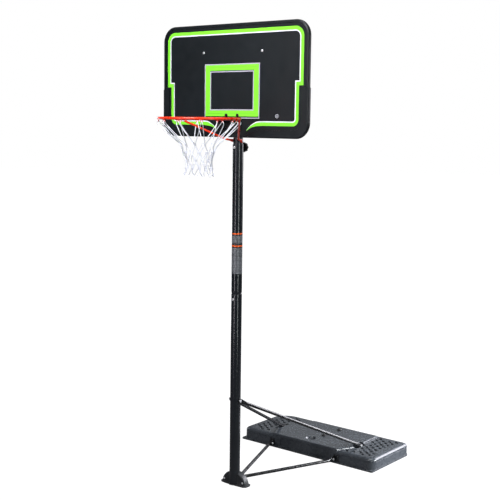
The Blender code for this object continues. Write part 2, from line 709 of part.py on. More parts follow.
def sleeve_bracket(name, half_x, z0, z1, sleeve_z0, sleeve_z1, holes, head):
    """Flat plate on the board's back joined by a web to a sleeve around the top pole."""
    front = BOARD_BACK + GAP
    bm = bmesh.new()
    box(bm, (-half_x, front, z0), (half_x, front + PLATE_T, z1))
    bracket = finish(name, bm, black_paint(name + "_paint"), parent=head)
    bm = bmesh.new()
    box(bm, (-0.017, front + 0.001, sleeve_z0 + 0.001), (0.017, -0.024, sleeve_z1 - 0.001))
    boolean(bracket, helper(name + "_web", bm, head), "UNION")
    inner = TOP_POLE_R + 0.0004
    outer = inner + PLATE_T
    phase = math.pi / POLE_SIDES
    bm = bmesh.new()
    turned(bm, [(outer, sleeve_z0), (outer, sleeve_z1)], "Z", POLE_SIDES, phase=phase)
    boolean(bracket, helper(name + "_sleeve", bm, head), "UNION")
    bm = bmesh.new()
    turned(bm, [(inner, sleeve_z0 - 0.02), (inner, sleeve_z1 + 0.02)], "Z", POLE_SIDES, phase=phase)
    for x, z in holes:
        turned(bm, [(BOLT_HOLE_R, -0.02), (BOLT_HOLE_R, 0.01)], "Y", 12, (x, -0.036, z))
    boolean(bracket, helper(name + "_cuts", bm, head), "DIFFERENCE")


def build_board_brackets(head):
    sleeve_bracket("lower_board_bracket", 0.070, 2.210, 2.350, 2.225, 2.335,
                   [*RIM_BOLTS.values(), *BRACKET_BOLTS.values()], head)
    sleeve_bracket("upper_board_bracket", 0.248, 2.678, 2.708, 2.665, 2.721,
                   UPPER_BOLTS.values(), head)


def build_board_bolts(head):
    """Bolts from the board's face through the brackets behind it, nuts at the back."""
    behind = BOARD_BACK + GAP + PLATE_T + GAP
    panel = BOARD_PANEL - GAP
    bracket = panel - BRACKET_T - GAP
    shank, nut_t = 0.0038, 0.006
    sets = (("upper_board_bolt_", UPPER_BOLTS, panel, 0.0078, 0.0042, False, zinc),
            ("board_bolt_", RIM_BOLTS, panel, 0.0110, 0.0048, False, black_zinc),
            ("rim_bracket_bolt_", BRACKET_BOLTS, bracket, 0.0078, 0.0048, True, black_zinc))
    for name, places, front, radius, head_t, hexed, plating in sets:
        for side, (x, z) in places.items():
            fasten(name + side, (x, front, z), behind - front, "Y", (shank, radius, head_t, nut_t),
                   plating, head, hexed)


# ---------------------------------------------------------------- rim
def build_rim_bracket(head):
    """Angle bracket on the board's face; its shelf carries the back of the ring."""
    back = BOARD_PANEL - GAP
    shelf = RIM_HEIGHT - RIM_ROD - GAP
    low, high, nose = 2.206, 2.306, -0.120
    face = back - BRACKET_T
    bm = bmesh.new()
    outline = [(back, low), (back, high), (face, high), (face, shelf), (nose, shelf),
               (nose, shelf - BRACKET_T), (face, shelf - BRACKET_T), (face, low)]
    loft(bm, [[(x, y, z) for y, z in outline] for x in (-0.062, 0.062)])
    bracket = finish("rim_bracket", bm, black_paint("rim_bracket_paint"), parent=head)
    bm = bmesh.new()
    web = [(back - 0.002, low + 0.009), (back - 0.002, shelf - 0.001),
           (nose + 0.008, shelf - 0.001), (nose + 0.008, shelf - 0.008)]
    for x in (-0.0585, 0.0585):
        loft(bm, [[(x + dx, y, z) for y, z in web] for dx in (-0.0015, 0.0015)])
    boolean(bracket, helper("rim_bracket_webs", bm, head), "UNION")
    bm = bmesh.new()
    for x, z in BRACKET_BOLTS.values():
        turned(bm, [(BOLT_HOLE_R, -0.01), (BOLT_HOLE_R, 0.01)], "Y", 12, (x, back - 0.002, z))
    boolean(bracket, helper("rim_bracket_holes", bm, head), "DIFFERENCE")


def build_rim_ring(head):
    """Round-rod ring with curled net hooks welded underneath. Origin at the ring's centre."""
    segments, sides = 72, 10
    bm = bmesh.new()
    sections = []
    rod = circle(RIM_ROD, sides, math.pi / sides)
    for i in range(segments):
        a = 2 * math.pi * i / segments
        s, c = math.sin(a), math.cos(a)
        sections.append([((RIM_RADIUS + x) * s, -(RIM_RADIUS + x) * c, z) for x, z in rod])
    loft(bm, sections, closed=True)
    centre = (0, RIM_CENTRE_Y, RIM_HEIGHT)
    ring = finish("rim_ring", bm, rim_paint("rim_paint"), centre, head)

    bm = bmesh.new()
    wire, curl, steps = 0.0021, 0.0060, 8
    for h in range(HOOKS):
        a = math.radians(15 + 360.0 * h / HOOKS)
        radial = Vector((math.sin(a), -math.cos(a), 0))
        along = Vector((math.cos(a), math.sin(a), 0))
        middle = radial * RIM_RADIUS + Vector((0, 0, -RIM_ROD - curl + 0.0010))
        sections = []
        for i in range(steps + 1):
            t = math.radians(90 + 285.0 * i / steps)
            out = along * math.cos(t) + Vector((0, 0, 1)) * math.sin(t)
            spot = middle + out * curl + radial * (0.0015 - 0.003 * i / steps)
            sections.append([spot + out * x + radial * y for x, y in circle(wire, 6)])
        loft(bm, sections)
    hooks = helper("rim_hooks", bm, head)
    hooks.location = centre
    boolean(ring, hooks, "UNION")


def build_rim_brace(side, sx, head):
    """Rod from under the ring to the side of the top pole, its end hammered flat for the bolt."""
    x_tab = TOP_POLE_R + GAP + 0.0021
    end = Vector((sx * 0.2130, -0.2499, RIM_HEIGHT - RIM_ROD - BRACE_ROD - GAP))
    bend = Vector((sx * 0.0520, -0.0600, 2.1765))
    back = Vector((0.0, 0.975, -0.22)).normalized()
    hole = Vector((sx * x_tab, 0.0, BRACE_BOLT_Z))
    a = hole - back * 0.016
    rod = (BRACE_ROD, BRACE_ROD)
    tab = (0.0095, 0.0019)
    tip = (BRACE_ROD * 0.75, BRACE_ROD * 0.75)
    out = (bend - end).normalized()
    turn = (a - bend).normalized()
    points = [hole + back * 0.0105, a, a - turn * 0.012, bend + turn * 0.008, bend - out * 0.010,
              end + out * 0.010, end]
    bm = bmesh.new()
    sweep(bm, points, [tab, tab, rod, rod, rod, rod, tip],
          [True, True, False, False, False, False, False], Vector((1, 0, 0)), 10)
    brace = finish("rim_brace_" + side, bm, rim_paint("rim_brace_paint_" + side), parent=head)
    bm = bmesh.new()
    turned(bm, [(BOLT_HOLE_R, -0.01), (BOLT_HOLE_R, 0.01)], "X", 12, hole)
    boolean(brace, helper("rim_brace_hole_" + side, bm, head), "DIFFERENCE")


def build_net(head):
    """Cord net as one thin open sleeve, wide under the ring and narrow at the neck."""
    profile = [(0.214, NET_TOP), (0.172, 2.210), (0.124, 2.148), (0.090, 2.095), (0.083, 2.040),
               (0.088, NET_BOTTOM)]
    sides = 24
    outer = [ring_z(r, z, sides) for r, z in profile]
    inner = [ring_z(r - NET_WALL, z, sides) for r, z in reversed(profile)]
    bm = bmesh.new()
    loft(bm, outer + inner, closed=True)
    finish("net", bm, net_cord("net_cord"), (0, RIM_CENTRE_Y, 0), head)


def main():
    clear_scene()
    head = empty("height_slide_axis", (0, 0, 0))
    build_tank()
    build_filler_caps()
    for side, sx in SIDES:
        build_brace_clips(side, sx)
        build_upper_brace(side, sx)
        build_strut(side, sx)
        build_strut_clip(side, sx)
        build_side_bolts(side, sx)
        build_rim_brace(side, sx, head)
    build_foot()
    build_foot_bolts()
    build_poles(head)
    build_pole_bolts(head)
    build_knob()
    build_board(head)
    build_board_brackets(head)
    build_board_bolts(head)
    build_rim_bracket(head)
    build_rim_ring(head)
    build_net(head)


main()
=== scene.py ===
import math
import random

import bmesh
import bpy
from mathutils import Matrix, Vector


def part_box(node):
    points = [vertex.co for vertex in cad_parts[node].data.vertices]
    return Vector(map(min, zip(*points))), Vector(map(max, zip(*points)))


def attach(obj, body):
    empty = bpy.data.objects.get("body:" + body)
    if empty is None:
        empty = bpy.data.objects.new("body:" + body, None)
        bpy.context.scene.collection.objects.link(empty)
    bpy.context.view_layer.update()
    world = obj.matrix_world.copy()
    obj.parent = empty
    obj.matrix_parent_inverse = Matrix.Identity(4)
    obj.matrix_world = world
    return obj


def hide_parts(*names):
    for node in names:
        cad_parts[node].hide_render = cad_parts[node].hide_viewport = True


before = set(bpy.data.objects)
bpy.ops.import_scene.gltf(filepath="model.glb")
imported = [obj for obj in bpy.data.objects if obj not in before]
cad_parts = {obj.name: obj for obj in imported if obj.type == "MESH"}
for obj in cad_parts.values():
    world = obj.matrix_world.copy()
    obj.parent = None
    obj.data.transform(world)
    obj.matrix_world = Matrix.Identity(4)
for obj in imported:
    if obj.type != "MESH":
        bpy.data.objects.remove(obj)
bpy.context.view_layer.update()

# ---------------------------------------------------------------- places read from the frame
def middle_of(node):
    """The middle of a CAD node's box; for a bolt, the middle of its axis."""
    low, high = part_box(node)
    return (low + high) / 2


SIDES = (("left", -1.0), ("right", 1.0))
RING_LOW, RING_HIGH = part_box("rim_ring")
BOARD_LOW, BOARD_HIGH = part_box("backboard")
TANK_LOW, TANK_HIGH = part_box("base_tank")
KNOB_LOW, KNOB_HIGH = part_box("height_knob")
KNOB_Z = middle_of("height_knob").z
MIDDLE_POLE_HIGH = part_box("middle_pole")[1]
BOTTOM_POLE_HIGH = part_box("bottom_pole")[1]

RIM_ROD = 0.008
RIM_HEIGHT = RING_HIGH.z - RIM_ROD
RIM_CENTRE = Vector((0.0, (RING_LOW.y + RING_HIGH.y) / 2, RIM_HEIGHT))
RIM_RADIUS = RING_HIGH.x - RIM_ROD
HOOKS = 12
HOOK_PHASE = 15.0               # degrees from the front to the first hook
HOOK_WIRE = 0.0021
HOOK_CURL = 0.0060
HOOK_DROP = RIM_ROD + HOOK_CURL - 0.0010    # from the rod's centre down to the curl's centre

PANEL_Y = BOARD_LOW.y + 0.002   # face of the flat playing panel
PRINT_T = 0.0004                # thickness of the printed lines
TARGET_X = -0.003               # middle of the target square


# ---------------------------------------------------------------- mesh helpers
def new_object(name, bm, mat, angle=34):
    bmesh.ops.recalc_face_normals(bm, faces=bm.faces)
    mesh = bpy.data.meshes.new(name)
    bm.to_mesh(mesh)
    bm.free()
    mesh.shade_smooth()
    mesh.set_sharp_from_angle(angle=math.radians(angle))
    obj = bpy.data.objects.new(name, mesh)
    bpy.context.scene.collection.objects.link(obj)
    if mat is not None:
        mesh.materials.append(mat)
    return obj


def place(obj, body, slot, *nodes):
    """Ride on a CAD body and stand for CAD nodes, which are hidden; slot is not used."""
    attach(obj, body)
    if nodes:
        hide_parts(*nodes)
    return obj


def loft(bm, sections, closed=False, uv=None):
    """Skin equal-length rings. uv, when given, is (layer, lengths along)."""
    rings = [[bm.verts.new(p) for p in section] for section in sections]
    count = len(rings[0])
    spans = list(zip(range(len(rings)), range(1, len(rings))))
    if closed:
        spans.append((len(rings) - 1, 0))
    for a, b in spans:
        for i in range(count):
            j = (i + 1) % count
            face = bm.faces.new((rings[a][i], rings[a][j], rings[b][j], rings[b][i]))
            if uv:
                layer, along = uv
                end = along[b] if b else along[-1] + (along[-1] - along[-2])
                corners = ((i, along[a]), (i + 1, along[a]), (i + 1, end), (i, end))
                for corner, (k, v) in zip(face.loops, corners):
                    corner[layer].uv = (k / count, v)
    if not closed:
        bm.faces.new(list(reversed(rings[0])))
        bm.faces.new(rings[-1])
    return rings


def circle(radius, sides, phase=0.0):
    angles = [phase + 2 * math.pi * i / sides for i in range(sides)]
    return [(radius * math.cos(a), radius * math.sin(a)) for a in angles]


AXIS_FRAMES = {
    "X": (Vector((0, 1, 0)), Vector((0, 0, 1)), Vector((1, 0, 0))),
    "Y": (Vector((0, 0, 1)), Vector((1, 0, 0)), Vector((0, 1, 0))),
    "Z": (Vector((1, 0, 0)), Vector((0, 1, 0)), Vector((0, 0, 1))),
}


def turned(bm, profile, axis="Z", sides=32, centre=(0, 0, 0), closed=False):
    u, v, w = AXIS_FRAMES[axis]
    c = Vector(centre)
    loft(bm, [[c + u * x + v * y + w * h for x, y in circle(r, sides)] for r, h in profile], closed)


def box(bm, low, high):
    (x0, y0, z0), (x1, y1, z1) = low, high
    loft(bm, [[(x0, y0, z), (x1, y0, z), (x1, y1, z), (x0, y1, z)] for z in (z0, z1)])


def arc(cx, cy, radius, start, end, steps):
    pts = []
    for i in range(steps + 1):
        a = math.radians(start + (end - start) * i / steps)
        pts.append((cx + radius * math.cos(a), cy + radius * math.sin(a)))
    return pts


def mirrored(right):
    """A right half outline, bottom to top, and its mirror image: one closed outline."""
    return right + [(-x, z) for x, z in reversed(right)]


def smooth_line(points, per=8, closed=False):
    """Catmull-Rom curve through points, with `per` steps between neighbours."""
    pts = [Vector(p) for p in points]
    n = len(pts)
    out = []
    last = n if closed else n - 1
    for i in range(last):
        p0 = pts[i - 1] if closed or i else pts[0] * 2 - pts[1]
        p1, p2 = pts[i], pts[(i + 1) % n]
        p3 = pts[(i + 2) % n] if closed or i + 2 < n else p2 * 2 - p1
        for k in range(per):
            t = k / per
            out.append(0.5 * (2 * p1 + (p2 - p0) * t + (2 * p0 - 5 * p1 + 4 * p2 - p3) * t * t
                              + (3 * p1 - p0 - 3 * p2 + p3) * t ** 3))
    if not closed:
        out.append(pts[-1])
    return out


def filleted(points, radii, steps=8):
    """Straight runs joined by rounded bends: radii has one value for each inner point."""
    pts = [Vector(p) for p in points]
    out = [pts[0]]
    for p, before, after, r in zip(pts[1:-1], pts, pts[2:], radii):
        a, b = (before - p).normalized(), (after - p).normalized()
        half = a.angle(b) / 2
        reach = min(r / math.tan(half), (before - p).length * 0.49, (after - p).length * 0.49)
        start, end = p + a * reach, p + b * reach
        for k in range(steps + 1):
            t = k / steps
            out.append(start * (1 - t) ** 2 + p * (2 * t * (1 - t)) + end * t * t)
    out.append(pts[-1])
    return out


def travelled(path):
    """Distance along a path at each point."""
    out = [0.0]
    for a, b in zip(path, path[1:]):
        out.append(out[-1] + (b - a).length)
    return out


def resample(path, step):
    """Points every `step` along a path."""
    dist = travelled(path)
    count = max(2, round(dist[-1] / step))
    out, j = [], 0
    for i in range(count + 1):
        d = dist[-1] * i / count
        while j < len(path) - 2 and dist[j + 1] < d:
            j += 1
        span = max(1e-9, dist[j + 1] - dist[j])
        out.append(path[j].lerp(path[j + 1], (d - dist[j]) / span))
    return out


def frames_along(path, side):
    """Unit (wide, thin) at each point; thin stays as close to `side` as the path allows."""
    out = []
    for i in range(len(path)):
        before = path[max(0, i - 1)]
        after = path[min(len(path) - 1, i + 1)]
        along = (after - before).normalized()
        thin = (side - along * side.dot(along)).normalized()
        out.append((along.cross(thin).normalized(), thin))
    return out


def ease(t):
    t = min(1.0, max(0.0, t))
    return t * t * (3 - 2 * t)


def crimped_rod(bm, path, side, radius, tab, first=0.0, last=0.0, run=0.030, sides=24):
    """A round rod or tube whose ends are pressed flat.

    tab is (half width, half thickness); first and last are the lengths of the flat ends;
    run is how far each end takes to turn round.
    """
    dist = travelled(path)
    total = dist[-1]
    sections = []
    for p, d, (wide, thin) in zip(path, dist, frames_along(path, side)):
        k = 1.0
        if first:
            k = min(k, ease((d - first) / run))
        if last:
            k = min(k, ease((total - d - last) / run))
        rw = tab[0] + (radius - tab[0]) * k
        rt = tab[1] + (radius - tab[1]) * k
        near = min(d if first else 1.0, total - d if last else 1.0)
        if near < tab[0]:                     # round nose of the flat end
            rw *= math.sqrt(max(0.02, 1 - (1 - near / tab[0]) ** 2))
        power = 1.0 - 0.62 * (1 - k)          # flat faces on the tab, a circle on the tube
        ring = []
        for i in range(sides):
            a = 2 * math.pi * (i + 0.5) / sides
            c, s = math.cos(a), math.sin(a)
            ring.append(p + wide * (math.copysign(abs(c) ** power, c) * rw)
                        + thin * (math.copysign(abs(s) ** power, s) * rt))
        sections.append(ring)
    loft(bm, sections)


def round_bar(bm, path, radius, sides=12, closed=False, uv=None, side=Vector((0, 0, 1))):
    """Round section along a path; the section turns with the path without twisting."""
    count = len(path)
    tangents = []
    for i in range(count):
        before = path[i - 1] if closed or i else path[0]
        after = path[(i + 1) % count] if closed or i + 1 < count else path[-1]
        tangents.append((after - before).normalized())
    normal = (side - tangents[0] * side.dot(tangents[0])).normalized()
    normals = [normal]
    for a, b in zip(tangents, tangents[1:]):
        normal = (a.rotation_difference(b) @ normal).normalized()
        normals.append(normal)
    if closed:                                # share the leftover twist out over the loop
        back = tangents[-1].rotation_difference(tangents[0]) @ normals[-1]
        twist = math.atan2(back.cross(normals[0]).dot(tangents[0]), back.dot(normals[0]))
        normals = [Matrix.Rotation(twist * i / count, 3, t) @ n
                   for i, (n, t) in enumerate(zip(normals, tangents))]
    rr = radius if isinstance(radius, (list, tuple)) else [radius] * count
    sections = []
    for p, t, n, r in zip(path, tangents, normals, rr):
        b = t.cross(n)
        sections.append([p + n * x + b * y for x, y in circle(r, sides)])
    if uv:
        dist = travelled(path)
        loft(bm, sections, closed, (bm.loops.layers.uv.verify(), dist))
    else:
        loft(bm, sections, closed)


def apply_modifiers(obj):
    """Swap an object's mesh for its evaluated one."""
    graph = bpy.context.evaluated_depsgraph_get()
    mesh = bpy.data.meshes.new_from_object(obj.evaluated_get(graph))
    obj.modifiers.clear()
    obj.data = mesh
    return obj


def solid(name, shape, *values, mat=None):
    """An object made by one mesh helper, such as box or turned."""
    bm = bmesh.new()
    shape(bm, *values)
    return new_object(name, bm, mat)


def cut_or_join(obj, tool, operation):
    mod = obj.modifiers.new(operation.lower(), "BOOLEAN")
    mod.operation = operation
    mod.object = tool
    apply_modifiers(obj)
    bpy.data.objects.remove(tool, do_unlink=True)


def weigh_normals(obj):
    """Let the large flat faces set the normals, so they shade flat right up to their edges."""
    mod = obj.modifiers.new("normals", "WEIGHTED_NORMAL")
    mod.keep_sharp = True
    mod.weight = 90
    apply_modifiers(obj)


def bevel(obj, width, segments=2, angle=30):
    mod = obj.modifiers.new("bevel", "BEVEL")
    mod.width = width
    mod.segments = segments
    mod.limit_method = "ANGLE"
    mod.angle_limit = math.radians(angle)
    mod.use_clamp_overlap = True
    mod.harden_normals = False
    apply_modifiers(obj)
    obj.data.shade_smooth()
    obj.data.set_sharp_from_angle(angle=math.radians(50))
    weigh_normals(obj)


def rounded_copy(node, name, width, mat, body, slot, segments=2):
    """A CAD node's own shape with its edges rounded; it stands for the node."""
    bm = bmesh.new()
    bm.from_mesh(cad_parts[node].data)
    bmesh.ops.remove_doubles(bm, verts=bm.verts, dist=1e-5)
    bmesh.ops.dissolve_limit(bm, angle_limit=math.radians(0.6), verts=bm.verts, edges=bm.edges)
    obj = new_object(name, bm, mat)
    bevel(obj, width, segments)
    return place(obj, body, slot, node)


# ---------------------------------------------------------------- shader helpers
class Shader:
    """A Principled material with a few short ways to add the nodes that vary it."""

    def __init__(self, name, **sockets):
        self.mat = bpy.data.materials.new(name)
        self.mat.use_nodes = True
        self.tree = self.mat.node_tree
        self.bsdf = self.tree.nodes["Principled BSDF"]
        for socket, value in sockets.items():
            self.bsdf.inputs[socket.replace("_", " ")].default_value = value
        self.place = self.tree.nodes.new("ShaderNodeTexCoord").outputs["Object"]

    def node(self, kind, inputs=(), **settings):
        made = self.tree.nodes.new("ShaderNode" + kind)
        for key, value in settings.items():
            setattr(made, key, value)
        for key, value in dict(inputs).items():
            if isinstance(value, bpy.types.NodeSocket):
                self.tree.links.new(value, made.inputs[key])
            else:
                made.inputs[key].default_value = value
        return made

    def stretched(self, scale):
        return self.node("Mapping", {"Vector": self.place, "Scale": scale}).outputs["Vector"]

    def noise(self, scale, detail=3.0, rough=0.55, vector=None):
        made = self.node("TexNoise", {"Vector": vector or self.place, "Scale": scale,
                                      "Detail": detail, "Roughness": rough})
        return made.outputs["Fac"]

    def cells(self, scale, feature="F1", vector=None):
        made = self.node("TexVoronoi", {"Vector": vector or self.place, "Scale": scale}, feature=feature)
        return made.outputs["Distance"]

    def remap(self, value, low, high, to_low=0.0, to_high=1.0):
        made = self.node("MapRange", {"Value": value, "From Min": low, "From Max": high,
                                      "To Min": to_low, "To Max": to_high})
        return made.outputs["Result"]

    def math(self, operation, a, b=0.0):
        return self.node("Math", {0: a, 1: b}, operation=operation).outputs[0]

    def mix(self, factor, a, b):
        made = self.node("Mix", {0: factor}, data_type="RGBA")
        for socket, value in ((made.inputs[6], a), (made.inputs[7], b)):
            if isinstance(value, bpy.types.NodeSocket):
                self.tree.links.new(value, socket)
            else:
                socket.default_value = (*value, 1.0)
        return made.outputs[2]

    def axis(self, name):
        return self.node("SeparateXYZ", {0: self.place}).outputs[name]

    def bump(self, height, strength, distance, under=None):
        inputs = {"Height": height, "Strength": strength, "Distance": distance}
        if under is not None:
            inputs["Normal"] = under
        return self.node("Bump", inputs).outputs["Normal"]

    def set(self, **links):
        for socket, source in links.items():
            self.tree.links.new(source, self.bsdf.inputs[socket.replace("_", " ")])
        return self.mat


def shade(colour, factor):
    return tuple(c * factor for c in colour)


# ---------------------------------------------------------------- materials
def powder_coat(name, colour, gloss, scuff, scuff_amount, coat=0.0, fine=900.0):
    """Baked powder paint on steel: orange peel, dust mottling and short scuffs along the part."""
    sh = Shader(name, Coat_Weight=coat, Coat_Roughness=0.12, Specular_IOR_Level=0.5)
    cloud = sh.noise(5.0, 4.0, 0.6)
    tone = sh.mix(sh.remap(cloud, 0.35, 0.68), shade(colour, 0.86), shade(colour, 1.16))
    streak = sh.noise(1.0, 5.0, 0.7, sh.stretched((260.0, 260.0, 7.0)))
    worn = sh.math("MULTIPLY", sh.remap(streak, 0.62, 0.74), sh.remap(sh.noise(9.0), 0.50, 0.66))
    worn = sh.math("MULTIPLY", worn, scuff_amount)
    rough = sh.math("ADD", sh.remap(sh.noise(38.0), 0.3, 0.7, gloss * 0.85, gloss * 1.2),
                    sh.math("MULTIPLY", worn, 0.28))
    peel = sh.bump(sh.noise(fine, 1.0, 0.4), 0.10, 0.00006)
    peel = sh.bump(sh.noise(120.0, 1.0, 0.4), 0.06, 0.00005, peel)
    return sh.set(Base_Color=sh.mix(worn, tone, scuff), Roughness=rough, Normal=peel)


def pole_paint():
    return powder_coat("pole_black_gloss", (0.0115, 0.0140, 0.0175), 0.20, (0.075, 0.078, 0.082), 0.35, 0.35)


def steel_paint():
    return powder_coat("steel_black_satin", (0.0085, 0.009, 0.0105), 0.27, (0.05, 0.05, 0.053), 0.45, 0.1)


def rim_paint():
    return powder_coat("rim_red_gloss", (0.83, 0.036, 0.008), 0.28, (0.95, 0.20, 0.11), 0.30, 0.25, 700.0)


def moulded_plastic(name, colour, gloss, grain, grain_depth, dust=0.0):
    """Polyethylene: pebbled skin, slow tone drift, and pale scuffs that thin out with height."""
    sh = Shader(name, Specular_IOR_Level=0.42)
    drift = sh.noise(3.2, 5.0, 0.62)
    tone = sh.mix(sh.remap(drift, 0.32, 0.70), shade(colour, 0.84), shade(colour, 1.18))
    speck = sh.remap(sh.noise(240.0, 2.0, 0.7), 0.60, 0.72, 0.0, 0.22)
    tone = sh.mix(speck, tone, shade(colour, 1.8))
    scratch = sh.noise(1.0, 4.0, 0.75, sh.stretched((9.0, 180.0, 60.0)))
    scratch = sh.math("MULTIPLY", sh.remap(scratch, 0.66, 0.76), sh.remap(sh.noise(6.0), 0.48, 0.62))
    tone = sh.mix(sh.math("MULTIPLY", scratch, 0.35), tone, shade(colour, 2.6))
    if dust:
        low = sh.remap(sh.axis("Z"), 0.0, 0.045, dust, 0.0)
        low = sh.math("MULTIPLY", low, sh.remap(sh.noise(28.0, 5.0, 0.7), 0.35, 0.7))
        tone = sh.mix(low, tone, (0.20, 0.19, 0.175))
    rough = sh.math("ADD", sh.remap(sh.noise(17.0), 0.3, 0.7, gloss * 0.9, gloss * 1.12),
                    sh.math("MULTIPLY", scratch, 0.15))
    skin = sh.bump(sh.cells(grain), 0.25, grain_depth)
    skin = sh.bump(sh.noise(14.0, 2.0), 0.12, 0.00020, skin)
    return sh.set(Base_Color=tone, Roughness=rough, Normal=skin)


def tank_plastic():
    return moulded_plastic("tank_grey_moulded", (0.034, 0.039, 0.046), 0.27, 620.0, 0.00003, 0.06)


def foot_plastic():
    return moulded_plastic("foot_black_moulded", (0.026, 0.029, 0.033), 0.38, 620.0, 0.00010, 0.18)


def board_plastic():
    return moulded_plastic("board_black_moulded", (0.0040, 0.0062, 0.0082), 0.42, 420.0, 0.00010)


def knob_plastic():
    return moulded_plastic("plastic_black_fine", (0.0075, 0.0078, 0.0085), 0.36, 1100.0, 0.00005)


def foil_print(name, colour, gloss=0.34):
    """Hot-stamped foil: it takes the board's pebble and loses a few specks of colour."""
    sh = Shader(name, Specular_IOR_Level=0.4)
    tone = sh.mix(sh.remap(sh.noise(7.0, 4.0), 0.3, 0.7), shade(colour, 0.95), shade(colour, 1.04))
    lost = sh.remap(sh.noise(520.0, 3.0, 0.75), 0.69, 0.74, 0.0, 0.5)
    tone = sh.mix(lost, tone, shade(colour, 0.35))
    rough = sh.remap(sh.noise(60.0), 0.3, 0.7, gloss * 0.85, gloss * 1.25)
    return sh.set(Base_Color=tone, Roughness=rough, Normal=sh.bump(sh.cells(420.0), 0.20, 0.0001))


def plated_steel(name, colour, gloss):
    """Zinc on a pressed or cut fastener: grain clouds, tool marks and a slightly dull patina."""
    sh = Shader(name, Metallic=1.0)
    tone = sh.mix(sh.remap(sh.noise(90.0, 4.0, 0.65), 0.3, 0.7), shade(colour, 0.80), shade(colour, 1.08))
    tone = sh.mix(sh.remap(sh.noise(700.0, 2.0), 0.62, 0.72, 0.0, 0.4), tone, shade(colour, 0.55))
    rough = sh.remap(sh.noise(160.0, 3.0), 0.3, 0.7, gloss * 0.75, gloss * 1.4)
    marks = sh.bump(sh.noise(1.0, 3.0, 0.6, sh.stretched((300.0, 1400.0, 1400.0))), 0.15, 0.00004)
    return sh.set(Base_Color=tone, Roughness=rough, Normal=marks)


def zinc():
    return plated_steel("zinc_bright", (0.92, 0.93, 0.95), 0.50)


def black_zinc():
    return plated_steel("zinc_black", (0.030, 0.032, 0.038), 0.34)


def braided_cord():
    """White nylon braid: two crossing sets of strands wound round the cord, slightly soiled, with painted
    shade in the grooves between the strands.
    """
    sh = Shader("net_white_braid", Sheen_Weight=0.25, Sheen_Roughness=0.5, Specular_IOR_Level=0.3)
    uv = sh.node("TexCoord").outputs["UV"]
    strands = []
    for lean in (1.0, -1.0):
        u = sh.node("SeparateXYZ", {0: uv}).outputs["X"]
        v = sh.node("SeparateXYZ", {0: uv}).outputs["Y"]
        turn = sh.math("ADD", sh.math("MULTIPLY", u, 6.0 * lean), sh.math("MULTIPLY", v, 420.0))
        strands.append(sh.math("ABSOLUTE", sh.math("SINE", sh.math("MULTIPLY", turn, math.pi))))
    braid = sh.math("MAXIMUM", strands[0], strands[1])
    soil = sh.remap(sh.noise(30.0, 4.0), 0.42, 0.72)
    tone = sh.mix(soil, (0.86, 0.88, 0.96), (0.76, 0.79, 0.89))
    # painted shade: the grooves between the strands, where the braid pattern is low, are darkened towards
    # grey-blue
    tone = sh.mix(sh.remap(braid, 0.0, 0.5, 0.35, 0.0), tone, (0.40, 0.42, 0.50))
    rough = sh.remap(sh.noise(200.0), 0.3, 0.7, 0.62, 0.80)
    return sh.set(Base_Color=tone, Roughness=rough, Normal=sh.bump(braid, 0.35, 0.00015))


def label_ink(name, colour):
    """Printed vinyl: even colour with faint print banding and rubbed specks."""
    sh = Shader(name, Specular_IOR_Level=0.45)
    band = sh.remap(sh.noise(1.0, 2.0, 0.5, sh.stretched((6.0, 6.0, 90.0))), 0.3, 0.7)
    tone = sh.mix(band, shade(colour, 0.90), shade(colour, 1.06))
    tone = sh.mix(sh.remap(sh.noise(300.0, 3.0, 0.7), 0.64, 0.72, 0.0, 0.45), tone, shade(colour, 0.4))
    rough = sh.remap(sh.noise(80.0), 0.3, 0.7, 0.22, 0.36)
    return sh.set(Base_Color=tone, Roughness=rough, Normal=sh.bump(sh.noise(400.0), 0.10, 0.00003))


# ---------------------------------------------------------------- base tank
FLANGE_LIP = 0.012
SIDE_LIP = 0.004
FLANGE_T = 0.010
FLANGE_CORNER = 0.010
WALL_TOP = 0.066
FIELD_Z = 0.086                 # top of the end fields
PLATFORM_Z = TANK_HIGH.z
TANK_CORNER = 0.055             # radius of both front corners
REAR_LEFT_CORNER = 0.135
REAR_RIGHT_CORNER = 0.040
SHOULDER_WIDTH = 0.034          # the rolled edge round the top of the wall
FRONT_PANEL_HALF = 0.205
DIMPLE_Y = TANK_LOW.y + 0.098
CLIP_POCKET_X = (0.304, 0.356)
PLATFORM_SIDE = ((0.272, 0.0125), (0.332, 0.143), (0.336, 0.303))     # X, and Y from the tank's front
PLATFORM_REAR = {"left": (0.225, 0.451), "right": (0.330, 0.451)}
FIELD_X = (TANK_LOW.x + 0.045, TANK_HIGH.x - 0.050)                   # what the anti-slip rows fill
FIELD_Y = (TANK_LOW.y + 0.048, TANK_LOW.y + 0.443)
TREAD_WAY = Vector((0.79, -0.61)).normalized()
FILLER_NODES = ("fill_cap_front", "fill_cap_rear")


def tank_outline(inset, front_lip, side_lip, front):
    """The tank seen from above; the lips are what its walls stand back from the flange."""
    x0, x1 = TANK_LOW.x + side_lip + inset, TANK_HIGH.x - side_lip - inset
    y0, y1 = TANK_LOW.y + front_lip + inset, TANK_HIGH.y - side_lip - inset
    front, rear_left, rear_right = (r - inset for r in (front, REAR_LEFT_CORNER, REAR_RIGHT_CORNER))
    return (arc(x1 - front, y0 + front, front, -90, 0, 10)
            + arc(x1 - rear_right, y1 - rear_right, rear_right, 0, 90, 10)
            + arc(x0 + rear_left, y1 - rear_left, rear_left, 90, 180, 10)
            + arc(x0 + front, y0 + front, front, 180, 270, 10))


def tank_ring(inset, z):
    return [(x, y, z) for x, y in tank_outline(inset, FLANGE_LIP, SIDE_LIP, TANK_CORNER)]


def platform_side(side, inset):
    """The raised middle's edge on one side, front to rear, as for the right side."""
    shift = (inset, 0.0, 0.0, -inset)
    corners = PLATFORM_SIDE + (PLATFORM_REAR[side],)
    return [(x - inset, TANK_LOW.y + y + dy) for (x, y), dy in zip(corners, shift)]


def platform_ring(inset, z):
    left = [(-x, y) for x, y in reversed(platform_side("left", inset))]
    return [(x, y, z) for x, y in platform_side("right", inset) + left]


